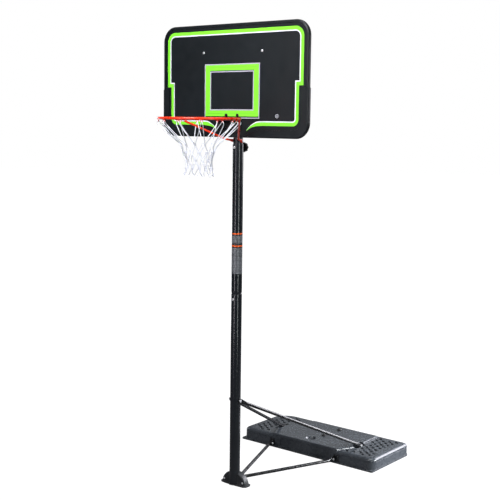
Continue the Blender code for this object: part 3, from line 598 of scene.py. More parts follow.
def on_platform(x, y, margin):
    corners = platform_side("left" if x < 0 else "right", 0.0)
    for (x0, y0), (x1, y1) in zip(corners, corners[1:]):
        if y0 <= y <= y1:
            return abs(x) < x0 + (x1 - x0) * (y - y0) / (y1 - y0) + margin
    return False


def tread_spots():
    """Centres of the anti-slip pockets: slanting rows over both end fields."""
    pitch, rows, half = 0.046, 0.0390, 0.018
    across = Vector((-TREAD_WAY.y, TREAD_WAY.x))
    clip_y = middle_of("brace_clip_bolt_right").y
    for sx in (-1.0, 1.0):
        middle = Vector((sx * 0.425, TANK_LOW.y + 0.228))
        for row in range(-9, 10):
            for k in range(-9, 10):
                p = middle + TREAD_WAY * (pitch * (k + 0.5 * (row % 2))) + across * (rows * row)
                ends = [p + TREAD_WAY * (half * e) for e in (-1, 1)]
                on_field = all(FIELD_X[0] < e.x < FIELD_X[1] and FIELD_Y[0] < e.y < FIELD_Y[1]
                               and not on_platform(e.x, e.y, 0.008) for e in ends)
                by_pocket = 0.294 < abs(p.x) < 0.372 and -0.104 < p.y - clip_y < 0.044
                if on_field and not by_pocket:
                    yield p


def tread_pocket(bm, spot):
    """A round-ended pocket with sloping sides."""
    wide = Vector((-TREAD_WAY.y, TREAD_WAY.x))
    sections = []
    for z, half, r in ((FIELD_Z - 0.0110, 0.0115, 0.0075), (FIELD_Z + 0.001, 0.0120, 0.0092)):
        ring = []
        for centre, start in ((half, -90), (-half, 90)):
            for x, y in arc(0, 0, r, start, start + 180, 5):
                p = spot + TREAD_WAY * (centre + x) + wide * y
                ring.append((p.x, p.y, z))
        sections.append(ring)
    loft(bm, sections)


def tank_cutters():
    """Everything pressed into the tank: front panel, round dimple, clip pockets, filler holes."""
    bm = bmesh.new()
    front = TANK_LOW.y
    clip_y = middle_of("brace_clip_bolt_right").y
    box(bm, (-FRONT_PANEL_HALF, front, 0.016), (FRONT_PANEL_HALF, front + FLANGE_LIP + 0.006, 0.078))
    turned(bm, [(0.022, PLATFORM_Z - 0.0130), (0.031, PLATFORM_Z - 0.0115), (0.0385, PLATFORM_Z - 0.002),
                (0.041, PLATFORM_Z + 0.002)], "Z", 48, (0.0, DIMPLE_Y, 0.0))
    for sx in (-1.0, 1.0):
        x0, x1 = sorted(sx * x for x in CLIP_POCKET_X)
        box(bm, (x0, clip_y - 0.085, 0.060), (x1, clip_y + 0.028, PLATFORM_Z + 0.01))
    for node in FILLER_NODES:
        cap = middle_of(node)
        centre = (cap.x, cap.y, 0.0)
        turned(bm, [(0.0112, PLATFORM_Z - 0.022), (0.0112, PLATFORM_Z + 0.01)], "Z", 24, centre)
        turned(bm, [(0.0200, PLATFORM_Z - 0.0012), (0.0215, PLATFORM_Z + 0.002)], "Z", 32, centre)
    return new_object("tank_cutters", bm, None)


def build_tank(mat):
    bm = bmesh.new()
    rings = [tank_ring(0.0, 0.0), tank_ring(0.0, 0.0580), tank_ring(0.0022, 0.0594),
             tank_ring(0.0022, 0.0624), tank_ring(0.0, 0.0640), tank_ring(0.0, WALL_TOP)]
    roll = FIELD_Z - WALL_TOP
    for i in range(1, 9):
        a = math.radians(90.0 * i / 8)
        rings.append(tank_ring(SHOULDER_WIDTH * (1 - math.cos(a)), WALL_TOP + roll * math.sin(a)))
    loft(bm, rings)
    tank = new_object("base_tank_shell", bm, mat)
    edge = tank_outline(0.0, 0.0, 0.0, FLANGE_CORNER)
    flange = solid("flange", loft, [[(x, y, z) for x, y in edge] for z in (0.0, FLANGE_T)])
    cut_or_join(tank, flange, "UNION")
    levels = ((0.0, 0.03), (0.0, FIELD_Z - 0.002), (0.0035, PLATFORM_Z - 0.0035),
              (0.0070, PLATFORM_Z - 0.0008), (0.0100, PLATFORM_Z))
    cut_or_join(tank, solid("platform", loft, [platform_ring(*level) for level in levels]), "UNION")
    cut_or_join(tank, tank_cutters(), "DIFFERENCE")
    bm = bmesh.new()
    for spot in tread_spots():
        tread_pocket(bm, spot)
    cut_or_join(tank, new_object("treads", bm, None), "DIFFERENCE")
    bevel(tank, 0.0012, 2, 28)
    return place(tank, "stand", "tank_plastic", "base_tank")


# ---------------------------------------------------------------- foot, braces and struts
BRACE_CLIP_X = 0.3294           # where each tube's pressed end sits along its bolt
STRUT_CLIP_X = 0.262
STRUT_FOOT_X = 0.0125
TUBE_R = 0.0105


def foot_hood(half=0.094, height=0.084, y0=-0.012, y1=0.034, steps=36):
    """The arched hood that the pole stands in."""
    base = []
    for i in range(steps + 1):
        t = math.pi * i / steps
        base.append((half * math.cos(t), max(0.002, height * math.sin(t))))
    sections = []
    for y, k in ((y0, 0.925), (y0 + 0.0015, 0.96), (y0 + 0.004, 0.985), (y0 + 0.008, 1.0),
                 (y1 - 0.008, 1.0), (y1 - 0.004, 0.985), (y1 - 0.0015, 0.96), (y1, 0.925)):
        sections.append([(x * k, y, max(0.002, z * k)) for x, z in base])
    return solid("foot_hood", loft, sections)


def foot_groove(half, height, steps=36, low=0.012, inner=0.88):
    """Cutter for one arched groove in the hood's front face."""
    section = ((1.0, -0.020), (0.985, -0.0085), (inner + 0.015, -0.0085), (inner, -0.020))
    rings = []
    for i in range(steps + 1):
        t = math.pi * i / steps
        x, z = half * math.cos(t), (height - low) * math.sin(t)
        rings.append([(x * k, y, low + z * k) for k, y in section])
    return solid("foot_groove", loft, rings)


def build_foot(mat):
    outline = mirrored([(0.030, -0.0285), (0.086, -0.024), (0.103, -0.010), (0.105, 0.020),
                        (0.094, 0.044), (0.060, 0.052)])
    foot = solid("foot_shell", loft, [[(x, y, z) for x, y in outline] for z in (0.0, 0.0058)], mat=mat)
    cut_or_join(foot, foot_hood(), "UNION")
    for half, height in ((0.080, 0.070), (0.056, 0.048)):
        cut_or_join(foot, foot_groove(half, height), "DIFFERENCE")
    socket = [(0.0405, 0.003), (0.0405, 0.050), (0.0375, 0.058)]
    cut_or_join(foot, solid("socket", turned, socket, "Z", 48), "UNION")
    cut_or_join(foot, solid("lug", box, (-0.0100, 0.028, 0.003), (0.0100, 0.072, 0.046)), "UNION")
    bore = BOTTOM_POLE_HIGH.x + 0.00045
    cut_or_join(foot, solid("bore", turned, [(bore, 0.0059), (bore, 0.12)], "Z", 48), "DIFFERENCE")
    bm = bmesh.new()
    box(bm, (-0.060, -0.060, 0.0059), (0.060, -0.014, 0.10))
    bolt = middle_of("strut_foot_bolt")
    turned(bm, [(0.0044, -0.03), (0.0044, 0.03)], "X", 16, (0, bolt.y, bolt.z))
    cut_or_join(foot, new_object("cuts", bm, None), "DIFFERENCE")
    bevel(foot, 0.0009, 2, 30)
    return place(foot, "stand", "tank_plastic", "foot")


def on_bolt(node, x):
    """The point on a sideways bolt's axis at a given X."""
    bolt = middle_of(node)
    return Vector((x, bolt.y, bolt.z))


def stand_tube(name, ends, straights, bend, press, mat, node):
    """A tube with pressed ends: its ends, where its straight part starts and stops, and its bends.

    press is the flat ends' half width, the first and last flat length, and the run to the round part.
    """
    half, first, last, run = press
    path = resample(filleted([ends[0], *straights, ends[1]], (bend, bend)), 0.004)
    bm = bmesh.new()
    crimped_rod(bm, path, Vector((1, 0, 0)), TUBE_R, (half, 0.0020), first, last, run)
    place(new_object(name, bm, mat, 40), "stand", "black_paint", node)


def build_tubes(mat):
    """Upper braces and lower struts, in the CAD rods' places."""
    for side, sx in SIDES:
        pivot = on_bolt("brace_pivot_bolt", sx * (BOTTOM_POLE_HIGH.x + 0.0025))
        clip = on_bolt("brace_clip_bolt_" + side, sx * BRACE_CLIP_X)
        down = Vector((0.0, clip.y, clip.z - pivot.z)).normalized()
        ends = (pivot - down * 0.014, clip + down * 0.0105)
        straights = (pivot + down * 0.030, clip - down * 0.030)
        stand_tube("upper_brace_tube_" + side, ends, straights, 0.05, (0.0150, 0.034, 0.030, 0.042), mat,
                   "upper_brace_" + side)

        foot = on_bolt("strut_foot_bolt", sx * STRUT_FOOT_X)
        wall = on_bolt("strut_clip_bolt_" + side, sx * STRUT_CLIP_X)
        ends = (foot - Vector((0, 0.010, 0)), wall + Vector((0, 0.012, 0)))
        straights = (foot + Vector((0, 0.016, 0)), wall - Vector((0, 0.026, 0)))
        stand_tube("lower_strut_tube_" + side, ends, straights, 0.04, (0.0120, 0.022, 0.028, 0.040), mat,
                   "lower_strut_" + side)


# ---------------------------------------------------------------- rim
def hook_point(a, t):
    """Centre of the hook's wire at turn t (degrees) for the hook at angle a (degrees)."""
    radial = Vector((math.sin(math.radians(a)), -math.cos(math.radians(a)), 0))
    along = Vector((math.cos(math.radians(a)), math.sin(math.radians(a)), 0))
    out = along * math.cos(math.radians(t)) + Vector((0, 0, 1)) * math.sin(math.radians(t))
    middle = RIM_CENTRE + radial * (RIM_RADIUS + 0.0015 - 0.003 * (t - 90) / 285)
    return middle - Vector((0, 0, HOOK_DROP)) + out * HOOK_CURL


def build_rim(mat):
    """Ring, net hooks and the small weld beads that join them."""
    bm = bmesh.new()
    path = [RIM_CENTRE + Vector((x, y, 0)) for x, y in circle(RIM_RADIUS, 160)]
    round_bar(bm, path, RIM_ROD, 20, closed=True)
    place(new_object("rim_ring_bar", bm, mat), "hoop_head", "rim_paint", "rim_ring")
    bm = bmesh.new()
    for h in range(HOOKS):
        a = HOOK_PHASE + 360.0 * h / HOOKS
        turn = [hook_point(a, 84 + 288.0 * i / 24) for i in range(25)]
        radii = [HOOK_WIRE] * 24 + [HOOK_WIRE * 0.7]
        round_bar(bm, turn, radii, 10)
        bead = hook_point(a, 90) - Vector((0, 0, 0.0003))
        along = (hook_point(a, 88) - hook_point(a, 92)).normalized()
        weld = [bead + along * (0.0065 * k) for k in (-1.0, -0.75, -0.3, 0.3, 0.75, 1.0)]
        round_bar(bm, weld, [0.0008, 0.0026, 0.0033, 0.0033, 0.0026, 0.0008], 10)
    place(new_object("rim_net_hooks", bm, mat), "hoop_head", "rim_paint")
    pole_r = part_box("top_pole")[1].x
    for side, sx in SIDES:
        end = Vector((sx * 0.2130, -0.2499, RIM_HEIGHT - RIM_ROD - 0.0065))
        bend = Vector((sx * 0.0520, -0.0600, RIM_HEIGHT - 0.1195))
        back = Vector((0.0, 0.975, -0.22)).normalized()
        hole = on_bolt("rim_brace_bolt", sx * (pole_r + 0.0024))
        route = filleted([hole + back * 0.0105, hole - back * 0.016, bend, end], (0.03, 0.035))
        path = resample(route, 0.003)
        bm = bmesh.new()
        crimped_rod(bm, path, Vector((1, 0, 0)), 0.0062, (0.0095, 0.0019), 0.024, 0.0, 0.022, 20)
        seat = (bend - end).normalized()
        weld = [end + seat * d + Vector((0, 0, 0.0052)) for d in (-0.004, 0.0, 0.008, 0.016, 0.021)]
        round_bar(bm, weld, [0.001, 0.0034, 0.0038, 0.0032, 0.001], 10)
        rod = new_object("rim_brace_rod_" + side, bm, mat, 40)
        place(rod, "hoop_head", "rim_paint", "rim_brace_" + side)


# ---------------------------------------------------------------- net
NET_CORD_R = 0.0023
NET_ROWS = ((0.147, 0.111), (0.196, 0.0895), (0.242, 0.0775), (0.286, 0.0765))  # drop, radius
NET_END = (0.331, 0.0855)
NET_TURN = ((-0.0105, 0.013), (-0.0062, 0.0032), (0.0, 0.0), (0.0062, 0.0032), (0.0105, 0.013))
HALF_STEPS = 2 * HOOKS          # hooks and knots sit on 24 equal turns round the ring
NET_SEED = 7


def round_ring(j, r, z):
    """A point r from the ring's axis, j half steps on from the first hook."""
    a = math.radians(HOOK_PHASE + 360.0 * j / HALF_STEPS)
    return Vector((math.sin(a) * r, RIM_CENTRE.y - math.cos(a) * r, z))


def net_knots():
    """Each row's twelve knots, hanging a little unevenly; the last row is the turned ends."""
    rng = random.Random(NET_SEED)
    rows = []
    for k, (drop, r) in enumerate(NET_ROWS + (NET_END,)):
        z = RIM_HEIGHT - drop
        row = []
        for i in range(HOOKS):
            j = 2 * i + (k + 1) % 2 + rng.uniform(-0.10, 0.10)
            row.append((j, r + rng.uniform(-0.0035, 0.0035), z + rng.uniform(-0.0045, 0.0045)))
        rows.append(row)
    return rows


def knot_at(rows, k, j, outwards=0.0):
    place_j, r, z = rows[k][(j % HALF_STEPS) // 2]
    return round_ring(place_j, r + outwards, z)


def over_hook(h):
    """The cord through a hook's curl: up on the inside, over the wire, down on the outside."""
    a = math.radians(HOOK_PHASE + 360.0 * h / HOOKS)
    radial = Vector((math.sin(a), -math.cos(a), 0))
    along = Vector((math.cos(a), math.sin(a), 0))
    top = hook_point(HOOK_PHASE + 360.0 * h / HOOKS, 270) + Vector((0, 0, HOOK_WIRE + NET_CORD_R - 0.0002))
    spots = ((-0.0085, -0.0030, -0.0100), (-0.0042, -0.0006, -0.0020), (0.0, 0.0, 0.0),
             (0.0042, 0.0006, -0.0022), (0.0062, 0.0032, -0.0105), (0.0010, 0.0070, -0.0220))
    return [top + radial * x + along * y + Vector((0, 0, z)) for x, y, z in spots]


def add_span(points, target, sag=0.0):
    """A nearly straight strand to the next knot, turning only close to its ends."""
    start = points[-1]
    for t in (0.10, 0.36, 0.64, 0.90):
        drop = Vector((0, 0, -sag * 4 * t * (1 - t)))
        points.append(start.lerp(target, t) + drop)
    points.append(target)


def net_path(rows):
    """The net's one closed cord: down from a hook, round a turned end, up to the fifth hook on."""
    points = []
    rows_down = len(NET_ROWS)
    hook = 0
    for _ in range(HOOKS):
        arrive = over_hook(hook)
        if points:
            add_span(points, arrive[0], 0.004)
            arrive = arrive[1:]
        points += arrive
        j = 2 * hook
        for k in range(rows_down):
            add_span(points, knot_at(rows, k, j + k + 1, NET_CORD_R * 0.9), 0.004 if k == 0 else 0.001)
        end = knot_at(rows, rows_down, j + rows_down + 1)
        side = (knot_at(rows, rows_down - 1, j + rows_down + 2)
                - knot_at(rows, rows_down - 1, j + rows_down)).normalized()
        for across, up in NET_TURN:
            points.append(end + side * across + Vector((0, 0, up)))
        for k in range(rows_down - 1, -1, -1):
            add_span(points, knot_at(rows, k, j + 2 * rows_down + 1 - k, -NET_CORD_R * 0.9), 0.001)
        hook = (hook + 5) % HOOKS
    add_span(points, over_hook(0)[0], 0.004)
    points.pop()
    return smooth_line(points, 3, closed=True)


def knot_wraps(bm, rows, layer):
    """At each crossing, two tight turns of cord bind the strands into a knot."""
    for k in range(len(NET_ROWS)):
        for j in range((k + 1) % 2, HALF_STEPS, 2):
            centre = knot_at(rows, k, j)
            outward = (centre - Vector((RIM_CENTRE.x, RIM_CENTRE.y, centre.z))).normalized()
            level = Vector((0, 0, 1)).cross(outward).normalized()
            for lift, lean in ((0.0019, 0.35), (-0.0019, -0.30)):
                wrap = []
                for c, w in circle(1.0, 14):
                    swing = Vector((0, 0, lift + lean * 0.0045 * c))
                    wrap.append(centre + level * (0.0046 * c) + outward * (0.0050 * w) + swing)
                round_bar(bm, wrap, NET_CORD_R * 0.92, 8, closed=True, uv=layer)


def build_net(mat):
    rows = net_knots()
    bm = bmesh.new()
    round_bar(bm, net_path(rows), NET_CORD_R, 8, closed=True, uv=True)
    knot_wraps(bm, rows, True)
    place(new_object("net_cord_mesh", bm, mat, 80), "hoop_head", "net_cord", "net")


# ---------------------------------------------------------------- backboard
BOARD_FACE_Y = BOARD_LOW.y - 0.0018     # crest of the raised border
BOARD_CORNER = 0.095
BOARD_NOTCH_Z = BOARD_LOW.z + 0.292
BOARD_HALF_UPPER = 0.561
UPPER_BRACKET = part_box("upper_board_bracket")
LOWER_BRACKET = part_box("lower_board_bracket")
BOARD_BOLTS = ("upper_board_bolt_left", "upper_board_bolt_right", "board_bolt_left", "board_bolt_right",
               "rim_bracket_bolt_left", "rim_bracket_bolt_right")


def board_outline(inset=0.0):
    """The board's edge in X and Z: wider below the side notches."""
    r = BOARD_CORNER - inset
    low, high = BOARD_LOW.z + inset, BOARD_HIGH.z - inset
    xl, xu = BOARD_HIGH.x - inset, BOARD_HALF_UPPER - inset
    right = arc(xl - r, low + r, r, -90, 0, 18)
    right += [(xl, BOARD_NOTCH_Z - 0.004 - inset), (xu + 0.001, BOARD_NOTCH_Z - inset * 0.5),
              (xu, BOARD_NOTCH_Z + 0.003)]
    right += arc(xu - r, high - r, r, 0, 90, 18)
    return mirrored(right)


def panel_side():
    """Right half of the flat playing panel's edge, open at the bottom in the middle for the rim."""
    z0 = BOARD_LOW.z
    right = [(0.085, z0 - 0.02), (0.085, z0 + 0.003), (0.108, z0 + 0.013), (0.130, z0 + 0.022),
             (0.155, z0 + 0.0315), (0.180, z0 + 0.038), (0.207, z0 + 0.0430), (0.235, z0 + 0.046)]
    right += arc(0.460, z0 + 0.101, 0.055, -90, 0, 12)
    right += [(0.515, BOARD_NOTCH_Z), (0.541, BOARD_NOTCH_Z + 0.012)]
    right += arc(0.461, BOARD_HIGH.z - 0.096, 0.080, 0, 90, 14)
    return right


def panel_groove(sx):
    """Cutter for the narrow groove between the playing panel and the raised border."""
    edge = panel_side() + [(-0.002, BOARD_HIGH.z - 0.016)]
    floor, top = PANEL_Y + 0.0022, PANEL_Y - 0.01
    sections = []
    for (xo, zo), (xi, zi) in zip(edge, inset_path(edge, 0.0030, 0.001)):
        corners = ((xo, floor, zo), (xo, top, zo), (xi, top, zi), (xi, floor, zi))
        sections.append([(sx * x, y, z) for x, y, z in corners])
    return solid("panel_groove", loft, sections)


def notch_groove(sx):
    """Cutter for the groove that runs across the border from each side notch."""
    x0, x1 = sorted((sx * 0.543, sx * 0.570))
    low = (x0, BOARD_FACE_Y - 0.01, BOARD_NOTCH_Z - 0.0042)
    return solid("notch_groove", box, low, (x1, PANEL_Y + 0.0010, BOARD_NOTCH_Z + 0.0008))


def board_bolt_place(node):
    """Where a bolt's axis crosses the middle of the board's thickness."""
    bolt = middle_of(node)
    return bolt.x, -0.053, bolt.z


def back_dimples():
    """Places of the moulded tack-off dimples on the board's back, clear of the brackets."""
    for row in range(8):
        for col in range(-6, 7):
            x = col * 0.080 + (0.040 if row % 2 else 0.0)
            z = BOARD_LOW.z + 0.062 + row * 0.079
            clear = all(not (lo.x - 0.022 < x < hi.x + 0.022 and lo.z - 0.022 < z < hi.z + 0.022)
                        for lo, hi in (UPPER_BRACKET, LOWER_BRACKET))
            in_corner = abs(x) > 0.455 and abs(z - (BOARD_LOW.z + BOARD_HIGH.z) / 2) > 0.235
            if abs(x) < 0.520 and clear and not in_corner:
                yield x, z


def build_board(mat):
    """The moulded board: border, playing panel, grooves, bolt holes and the dimples behind."""
    back, edge = BOARD_HIGH.y, BOARD_FACE_Y
    profile = [(0.0030, back), (0.0010, back - 0.0008), (0.0, back - 0.0030), (0.0, edge + 0.0080),
               (0.0008, edge + 0.0045), (0.0025, edge + 0.0020), (0.0050, edge + 0.0006), (0.0085, edge)]
    sections = [[(x, y, z) for x, z in board_outline(inset)] for inset, y in profile]
    board = solid("backboard_shell", loft, sections, mat=mat)
    sections = [[(x, y, z) for x, z in mirrored(panel_side())] for y in (PANEL_Y, BOARD_FACE_Y - 0.01)]
    cut_or_join(board, solid("panel", loft, sections), "DIFFERENCE")
    for sx in (1, -1):
        cut_or_join(board, panel_groove(sx), "DIFFERENCE")
        cut_or_join(board, notch_groove(sx), "DIFFERENCE")
    bm = bmesh.new()
    for node in BOARD_BOLTS:
        turned(bm, [(0.0044, -0.03), (0.0044, 0.03)], "Y", 20, board_bolt_place(node))
    for x, z in back_dimples():
        turned(bm, [(0.0060, back - 0.0085), (0.0100, back - 0.0075), (0.0145, back + 0.0010)],
               "Y", 20, (x, 0.0, z))
    cut_or_join(board, new_object("holes", bm, None), "DIFFERENCE")
    bevel(board, 0.0010, 2, 28)
    place(board, "hoop_head", "board_plastic", "backboard")


def strip(bm, outer, inner, thick=PRINT_T, closed=True):
    """A raised band on the panel between two outlines with the same number of points."""
    base, top = PANEL_Y + 0.0002, PANEL_Y - thick
    sections = []
    for (xo, zo), (xi, zi) in zip(outer, inner):
        sections.append([(xo, base, zo), (xo, top, zo), (xi, top, zi), (xi, base, zi)])
    loft(bm, sections, closed)


def rectangle(half_x, low, high):
    """A rectangle about the target square's middle; low and high are from the board's lower edge."""
    x0, x1 = TARGET_X - half_x, TARGET_X + half_x
    z0, z1 = BOARD_LOW.z + low, BOARD_LOW.z + high
    return [(x0, z0), (x1, z0), (x1, z1), (x0, z1)]


def bezier(p0, p1, p2, p3, steps):
    """Points on a cubic curve."""
    out = []
    for i in range(steps + 1):
        t = i / steps
        w = ((1 - t) ** 3, 3 * t * (1 - t) ** 2, 3 * t * t * (1 - t), t ** 3)
        out.append(tuple(sum(wk * p[k] for wk, p in zip(w, (p0, p1, p2, p3))) for k in (0, 1)))
    return out


def border_path():
    """Outer edge of the green border line, right half: from its tip near the rim to the top middle."""
    low, notch, high = BOARD_LOW.z + 0.072, BOARD_NOTCH_Z + 0.012, BOARD_HIGH.z - 0.037
    right = bezier((0.115, low - 0.031), (0.155, low), (0.205, low), (0.260, low), 14)
    right += arc(0.456, low + 0.040, 0.040, -90, 0, 10)
    right += [(0.496, notch), (0.526, notch)]
    right += arc(0.466, high - 0.060, 0.060, 0, 90, 14)
    right += [(0.0, high)]
    return right


def inset_path(path, distance, taper):
    """A path moved to its left by a distance that grows from nothing over the first `taper` metres."""
    pts = [Vector(p) for p in path]
    dist = travelled(pts)
    out = []
    for i, p in enumerate(pts):
        before = (p - pts[i - 1]).normalized() if i else (pts[1] - p).normalized()
        after = (pts[i + 1] - p).normalized() if i + 1 < len(pts) else Vector((-1.0, 0.0))
        n0, n1 = Vector((-before.y, before.x)), Vector((-after.y, after.x))
        bisector = (n0 + n1).normalized()
        grown = distance * min(1.0, 0.08 + 0.92 * dist[i] / taper)
        out.append(tuple(p + bisector * (grown / max(0.5, bisector.dot(n0)))))
    return out


def build_prints(green, white, lilac):
    """The board's printed lines: green border with its white edge, and the target square."""
    edge = border_path()
    mid = inset_path(edge, 0.0200, 0.085)
    inner = inset_path(edge, 0.0272, 0.085)
    seam = inset_path(edge, 0.0206, 0.085)
    green_bm, white_bm = bmesh.new(), bmesh.new()
    for sx in (1, -1):
        sides = [[(sx * x, z) for x, z in line] for line in (edge, mid, seam, inner)]
        strip(green_bm, sides[0], sides[1], closed=False)
        strip(white_bm, sides[2], sides[3], closed=False)
    place(new_object("board_print_white", white_bm, white), "hoop_head", "board_plastic")
    target_bm = bmesh.new()
    strip(target_bm, rectangle(0.2135, 0.1135, 0.4380), rectangle(0.2075, 0.1190, 0.4320))
    strip(green_bm, rectangle(0.2062, 0.1260, 0.4308), rectangle(0.1900, 0.1420, 0.4170))
    strip(green_bm, rectangle(0.1892, 0.1428, 0.4162), rectangle(0.1707, 0.1603, 0.3990), PRINT_T * 0.6)
    strip(target_bm, rectangle(0.1694, 0.1615, 0.3945), rectangle(0.1634, 0.1675, 0.3885))
    place(new_object("board_print_green", green_bm, green), "hoop_head", "board_plastic")
    place(new_object("board_print_target", target_bm, lilac), "hoop_head", "board_plastic")


def stroke(bm, points, width):
    """A printed line through points in X and Z."""
    pts = [Vector(p) for p in points]
    left, right = [], []
    for i, p in enumerate(pts):
        d = (pts[min(i + 1, len(pts) - 1)] - pts[max(i - 1, 0)]).normalized()
        n = Vector((-d.y, d.x)) * (width / 2)
        left.append(tuple(p + n))
        right.append(tuple(p - n))
    strip(bm, left, right, closed=False)


def build_ball_mark(white):
    """A plain ball drawn in outline."""
    cx, cz = 0.341, BOARD_LOW.z + 0.1285
    r, w = 0.0115, 0.0013
    bm = bmesh.new()
    outer = [(cx + x, cz + z) for x, z in circle(r, 40)]
    inner = [(cx + x, cz + z) for x, z in circle(r - w, 40)]
    strip(bm, outer, inner)
    stroke(bm, [(cx, cz - r + w), (cx, cz + r - w)], w)
    stroke(bm, [(cx - r + w, cz), (cx + r - w, cz)], w)
    for side in (-1, 1):
        seam = arc(0, 0, r * 0.98, -52, 52, 10)
        stroke(bm, [(cx + side * (r * 1.05 - x * 0.62), cz + z) for x, z in seam], w)
    place(new_object("board_ball_mark", bm, white), "hoop_head", "board_plastic")


# ---------------------------------------------------------------- poles, knob and label
def tube_radius(half_width):
    """Radius of the round tube whose 32-sided CAD solid is this wide from its axis to a flat."""
    return half_width / math.cos(math.pi / 32)


def drilled_tube(name, node, wall, holes, mat, body, swage=None):
    """A pole's tube with rounded ends and its drilled holes: (axis, height, radius).

    swage is the reduced lower end: its radius, its top and the height of the cone above it.
    """
    low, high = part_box(node)
    r = tube_radius(high.x)
    foot = swage[0] if swage else r
    e = 0.0006
    outside = [(foot - e, low.z), (foot, low.z + e), (r, high.z - e), (r - e, high.z)]
    if swage:
        cone = [(foot + (r - foot) * ease(i / 6), swage[1] + swage[2] * i / 6) for i in range(7)]
        outside[2:2] = cone
    inside = [(radius - wall, z) for radius, z in reversed(outside[1:-1])]
    profile = outside + [(r - wall + e * 0.5, high.z)] + inside + [(foot - wall + e * 0.5, low.z)]
    bm = bmesh.new()
    turned(bm, profile, "Z", 96, closed=True)
    tube = new_object(name, bm, mat)
    bm = bmesh.new()
    for axis, z, hole in holes:
        turned(bm, [(hole, -0.05), (hole, 0.05)], axis, 24, (0, 0, z))
    cut_or_join(tube, new_object("drills", bm, None), "DIFFERENCE")
    tube.data.shade_smooth()
    tube.data.set_sharp_from_angle(angle=math.radians(35))
    return place(tube, body, "pole_paint", node)


HEIGHT_STEP = 0.1524             # six inches between the height holes
HEIGHT_ROWS = 6
# the middle pole's reduced end: its radius, its top, and the height of the cone above it
SWAGE = (0.03025, BOTTOM_POLE_HIGH.z + 0.002, 0.014)


def build_poles(mat):
    joint_z = middle_of("pole_joint_bolt").z
    pivot_z = middle_of("brace_pivot_bolt").z
    rim_bolt_z = middle_of("rim_brace_bolt").z
    rows = [("Y", KNOB_Z - k * HEIGHT_STEP, 0.0050) for k in range(HEIGHT_ROWS)]
    drilled_tube("bottom_pole_tube", "bottom_pole", 0.0025,
                 [("Y", joint_z, 0.0046), ("X", pivot_z, 0.0054)], mat, "stand")
    drilled_tube("middle_pole_tube", "middle_pole", 0.0017,
                 [("Y", joint_z, 0.0046), ("Y", KNOB_Z, 0.0050)], mat, "stand", SWAGE)
    drilled_tube("top_pole_tube", "top_pole", 0.0015,
                 rows + [("X", rim_bolt_z, 0.0046)], mat, "hoop_head")


KNOB_LOBES = 8


def build_knob(mat):
    """Eight-lobed clamp knob, its lobes rounded over, with a boss round the stud."""
    axis = Vector((0.0, 0.0, KNOB_Z))
    y0, y1 = KNOB_LOW.y, KNOB_HIGH.y
    grip0 = y1 - 0.0185
    sections = []
    for y, grow in ((grip0, 0.80), (grip0 + 0.0008, 0.89), (grip0 + 0.0025, 0.96), (grip0 + 0.0050, 1.0),
                    (y1 - 0.0060, 1.0), (y1 - 0.0028, 0.965), (y1 - 0.0008, 0.90), (y1 - 0.0001, 0.82),
                    (y1 - 0.0016, 0.70), (y1 - 0.0022, 0.40)):
        ring = []
        for i in range(120):
            a = 2 * math.pi * i / 120
            lobe = math.cos(KNOB_LOBES * a)
            r = grow * (0.0295 + 0.0017 * math.copysign(abs(lobe) ** 0.8, lobe))
            ring.append(axis + Vector((r * math.sin(a), y, r * math.cos(a))))
        sections.append(ring)
    bm = bmesh.new()
    loft(bm, sections)
    knob = new_object("height_knob_grip", bm, mat, 40)
    boss = [(0.0045, y0), (0.0045, y0 + 0.0014), (0.0112, y0 + 0.0014), (0.0120, y0 + 0.0022),
            (0.0120, grip0 + 0.004)]
    cut_or_join(knob, solid("boss", turned, boss, "Y", 32, axis), "UNION")
    knob.data.set_sharp_from_angle(angle=math.radians(40))
    place(knob, "clamp_knob", "black_plastic", "height_knob")


LABEL_HALF_TURN = 140.0          # degrees either side of the front
LABEL_HIGH = MIDDLE_POLE_HIGH.z - 0.539
LABEL_LOW = LABEL_HIGH - 0.260


def band(name, z0, z1, lift, mat, half_turn=LABEL_HALF_TURN):
    """A sticker wrapped round the middle pole, facing front."""
    r = tube_radius(MIDDLE_POLE_HIGH.x)
    inner, outer = r - 0.0002, r + lift
    steps = 96
    sections = []
    for i in range(steps + 1):
        a = math.radians(-90 - half_turn + 2 * half_turn * i / steps)
        c, s = math.cos(a), math.sin(a)
        sections.append([(inner * c, inner * s, z0), (outer * c, outer * s, z0),
                         (outer * c, outer * s, z1), (inner * c, inner * s, z1)])
    place(solid(name, loft, sections, mat=mat), "stand", "pole_paint")


def build_label(orange, grey, dark):
    """Height label round the middle pole: orange heads over plain panels, no lettering."""
    band("label_back", LABEL_LOW, LABEL_HIGH, 0.00018, dark)
    band("label_head_upper", LABEL_HIGH - 0.0105, LABEL_HIGH - 0.0015, 0.00030, orange)
    band("label_head_lower", LABEL_HIGH - 0.0865, LABEL_HIGH - 0.0775, 0.00030, orange)
    rng = random.Random(11)
    z, k = LABEL_HIGH - 0.020, 0
    while z > LABEL_LOW + 0.010:
        tall = rng.choice((0.0035, 0.0042, 0.0050))
        if not LABEL_HIGH - 0.092 < z < LABEL_HIGH - 0.064:
            band("label_line_%02d" % k, z - tall, z, 0.00026, grey, rng.uniform(118.0, 134.0))
            k += 1
        z -= tall + 0.0032


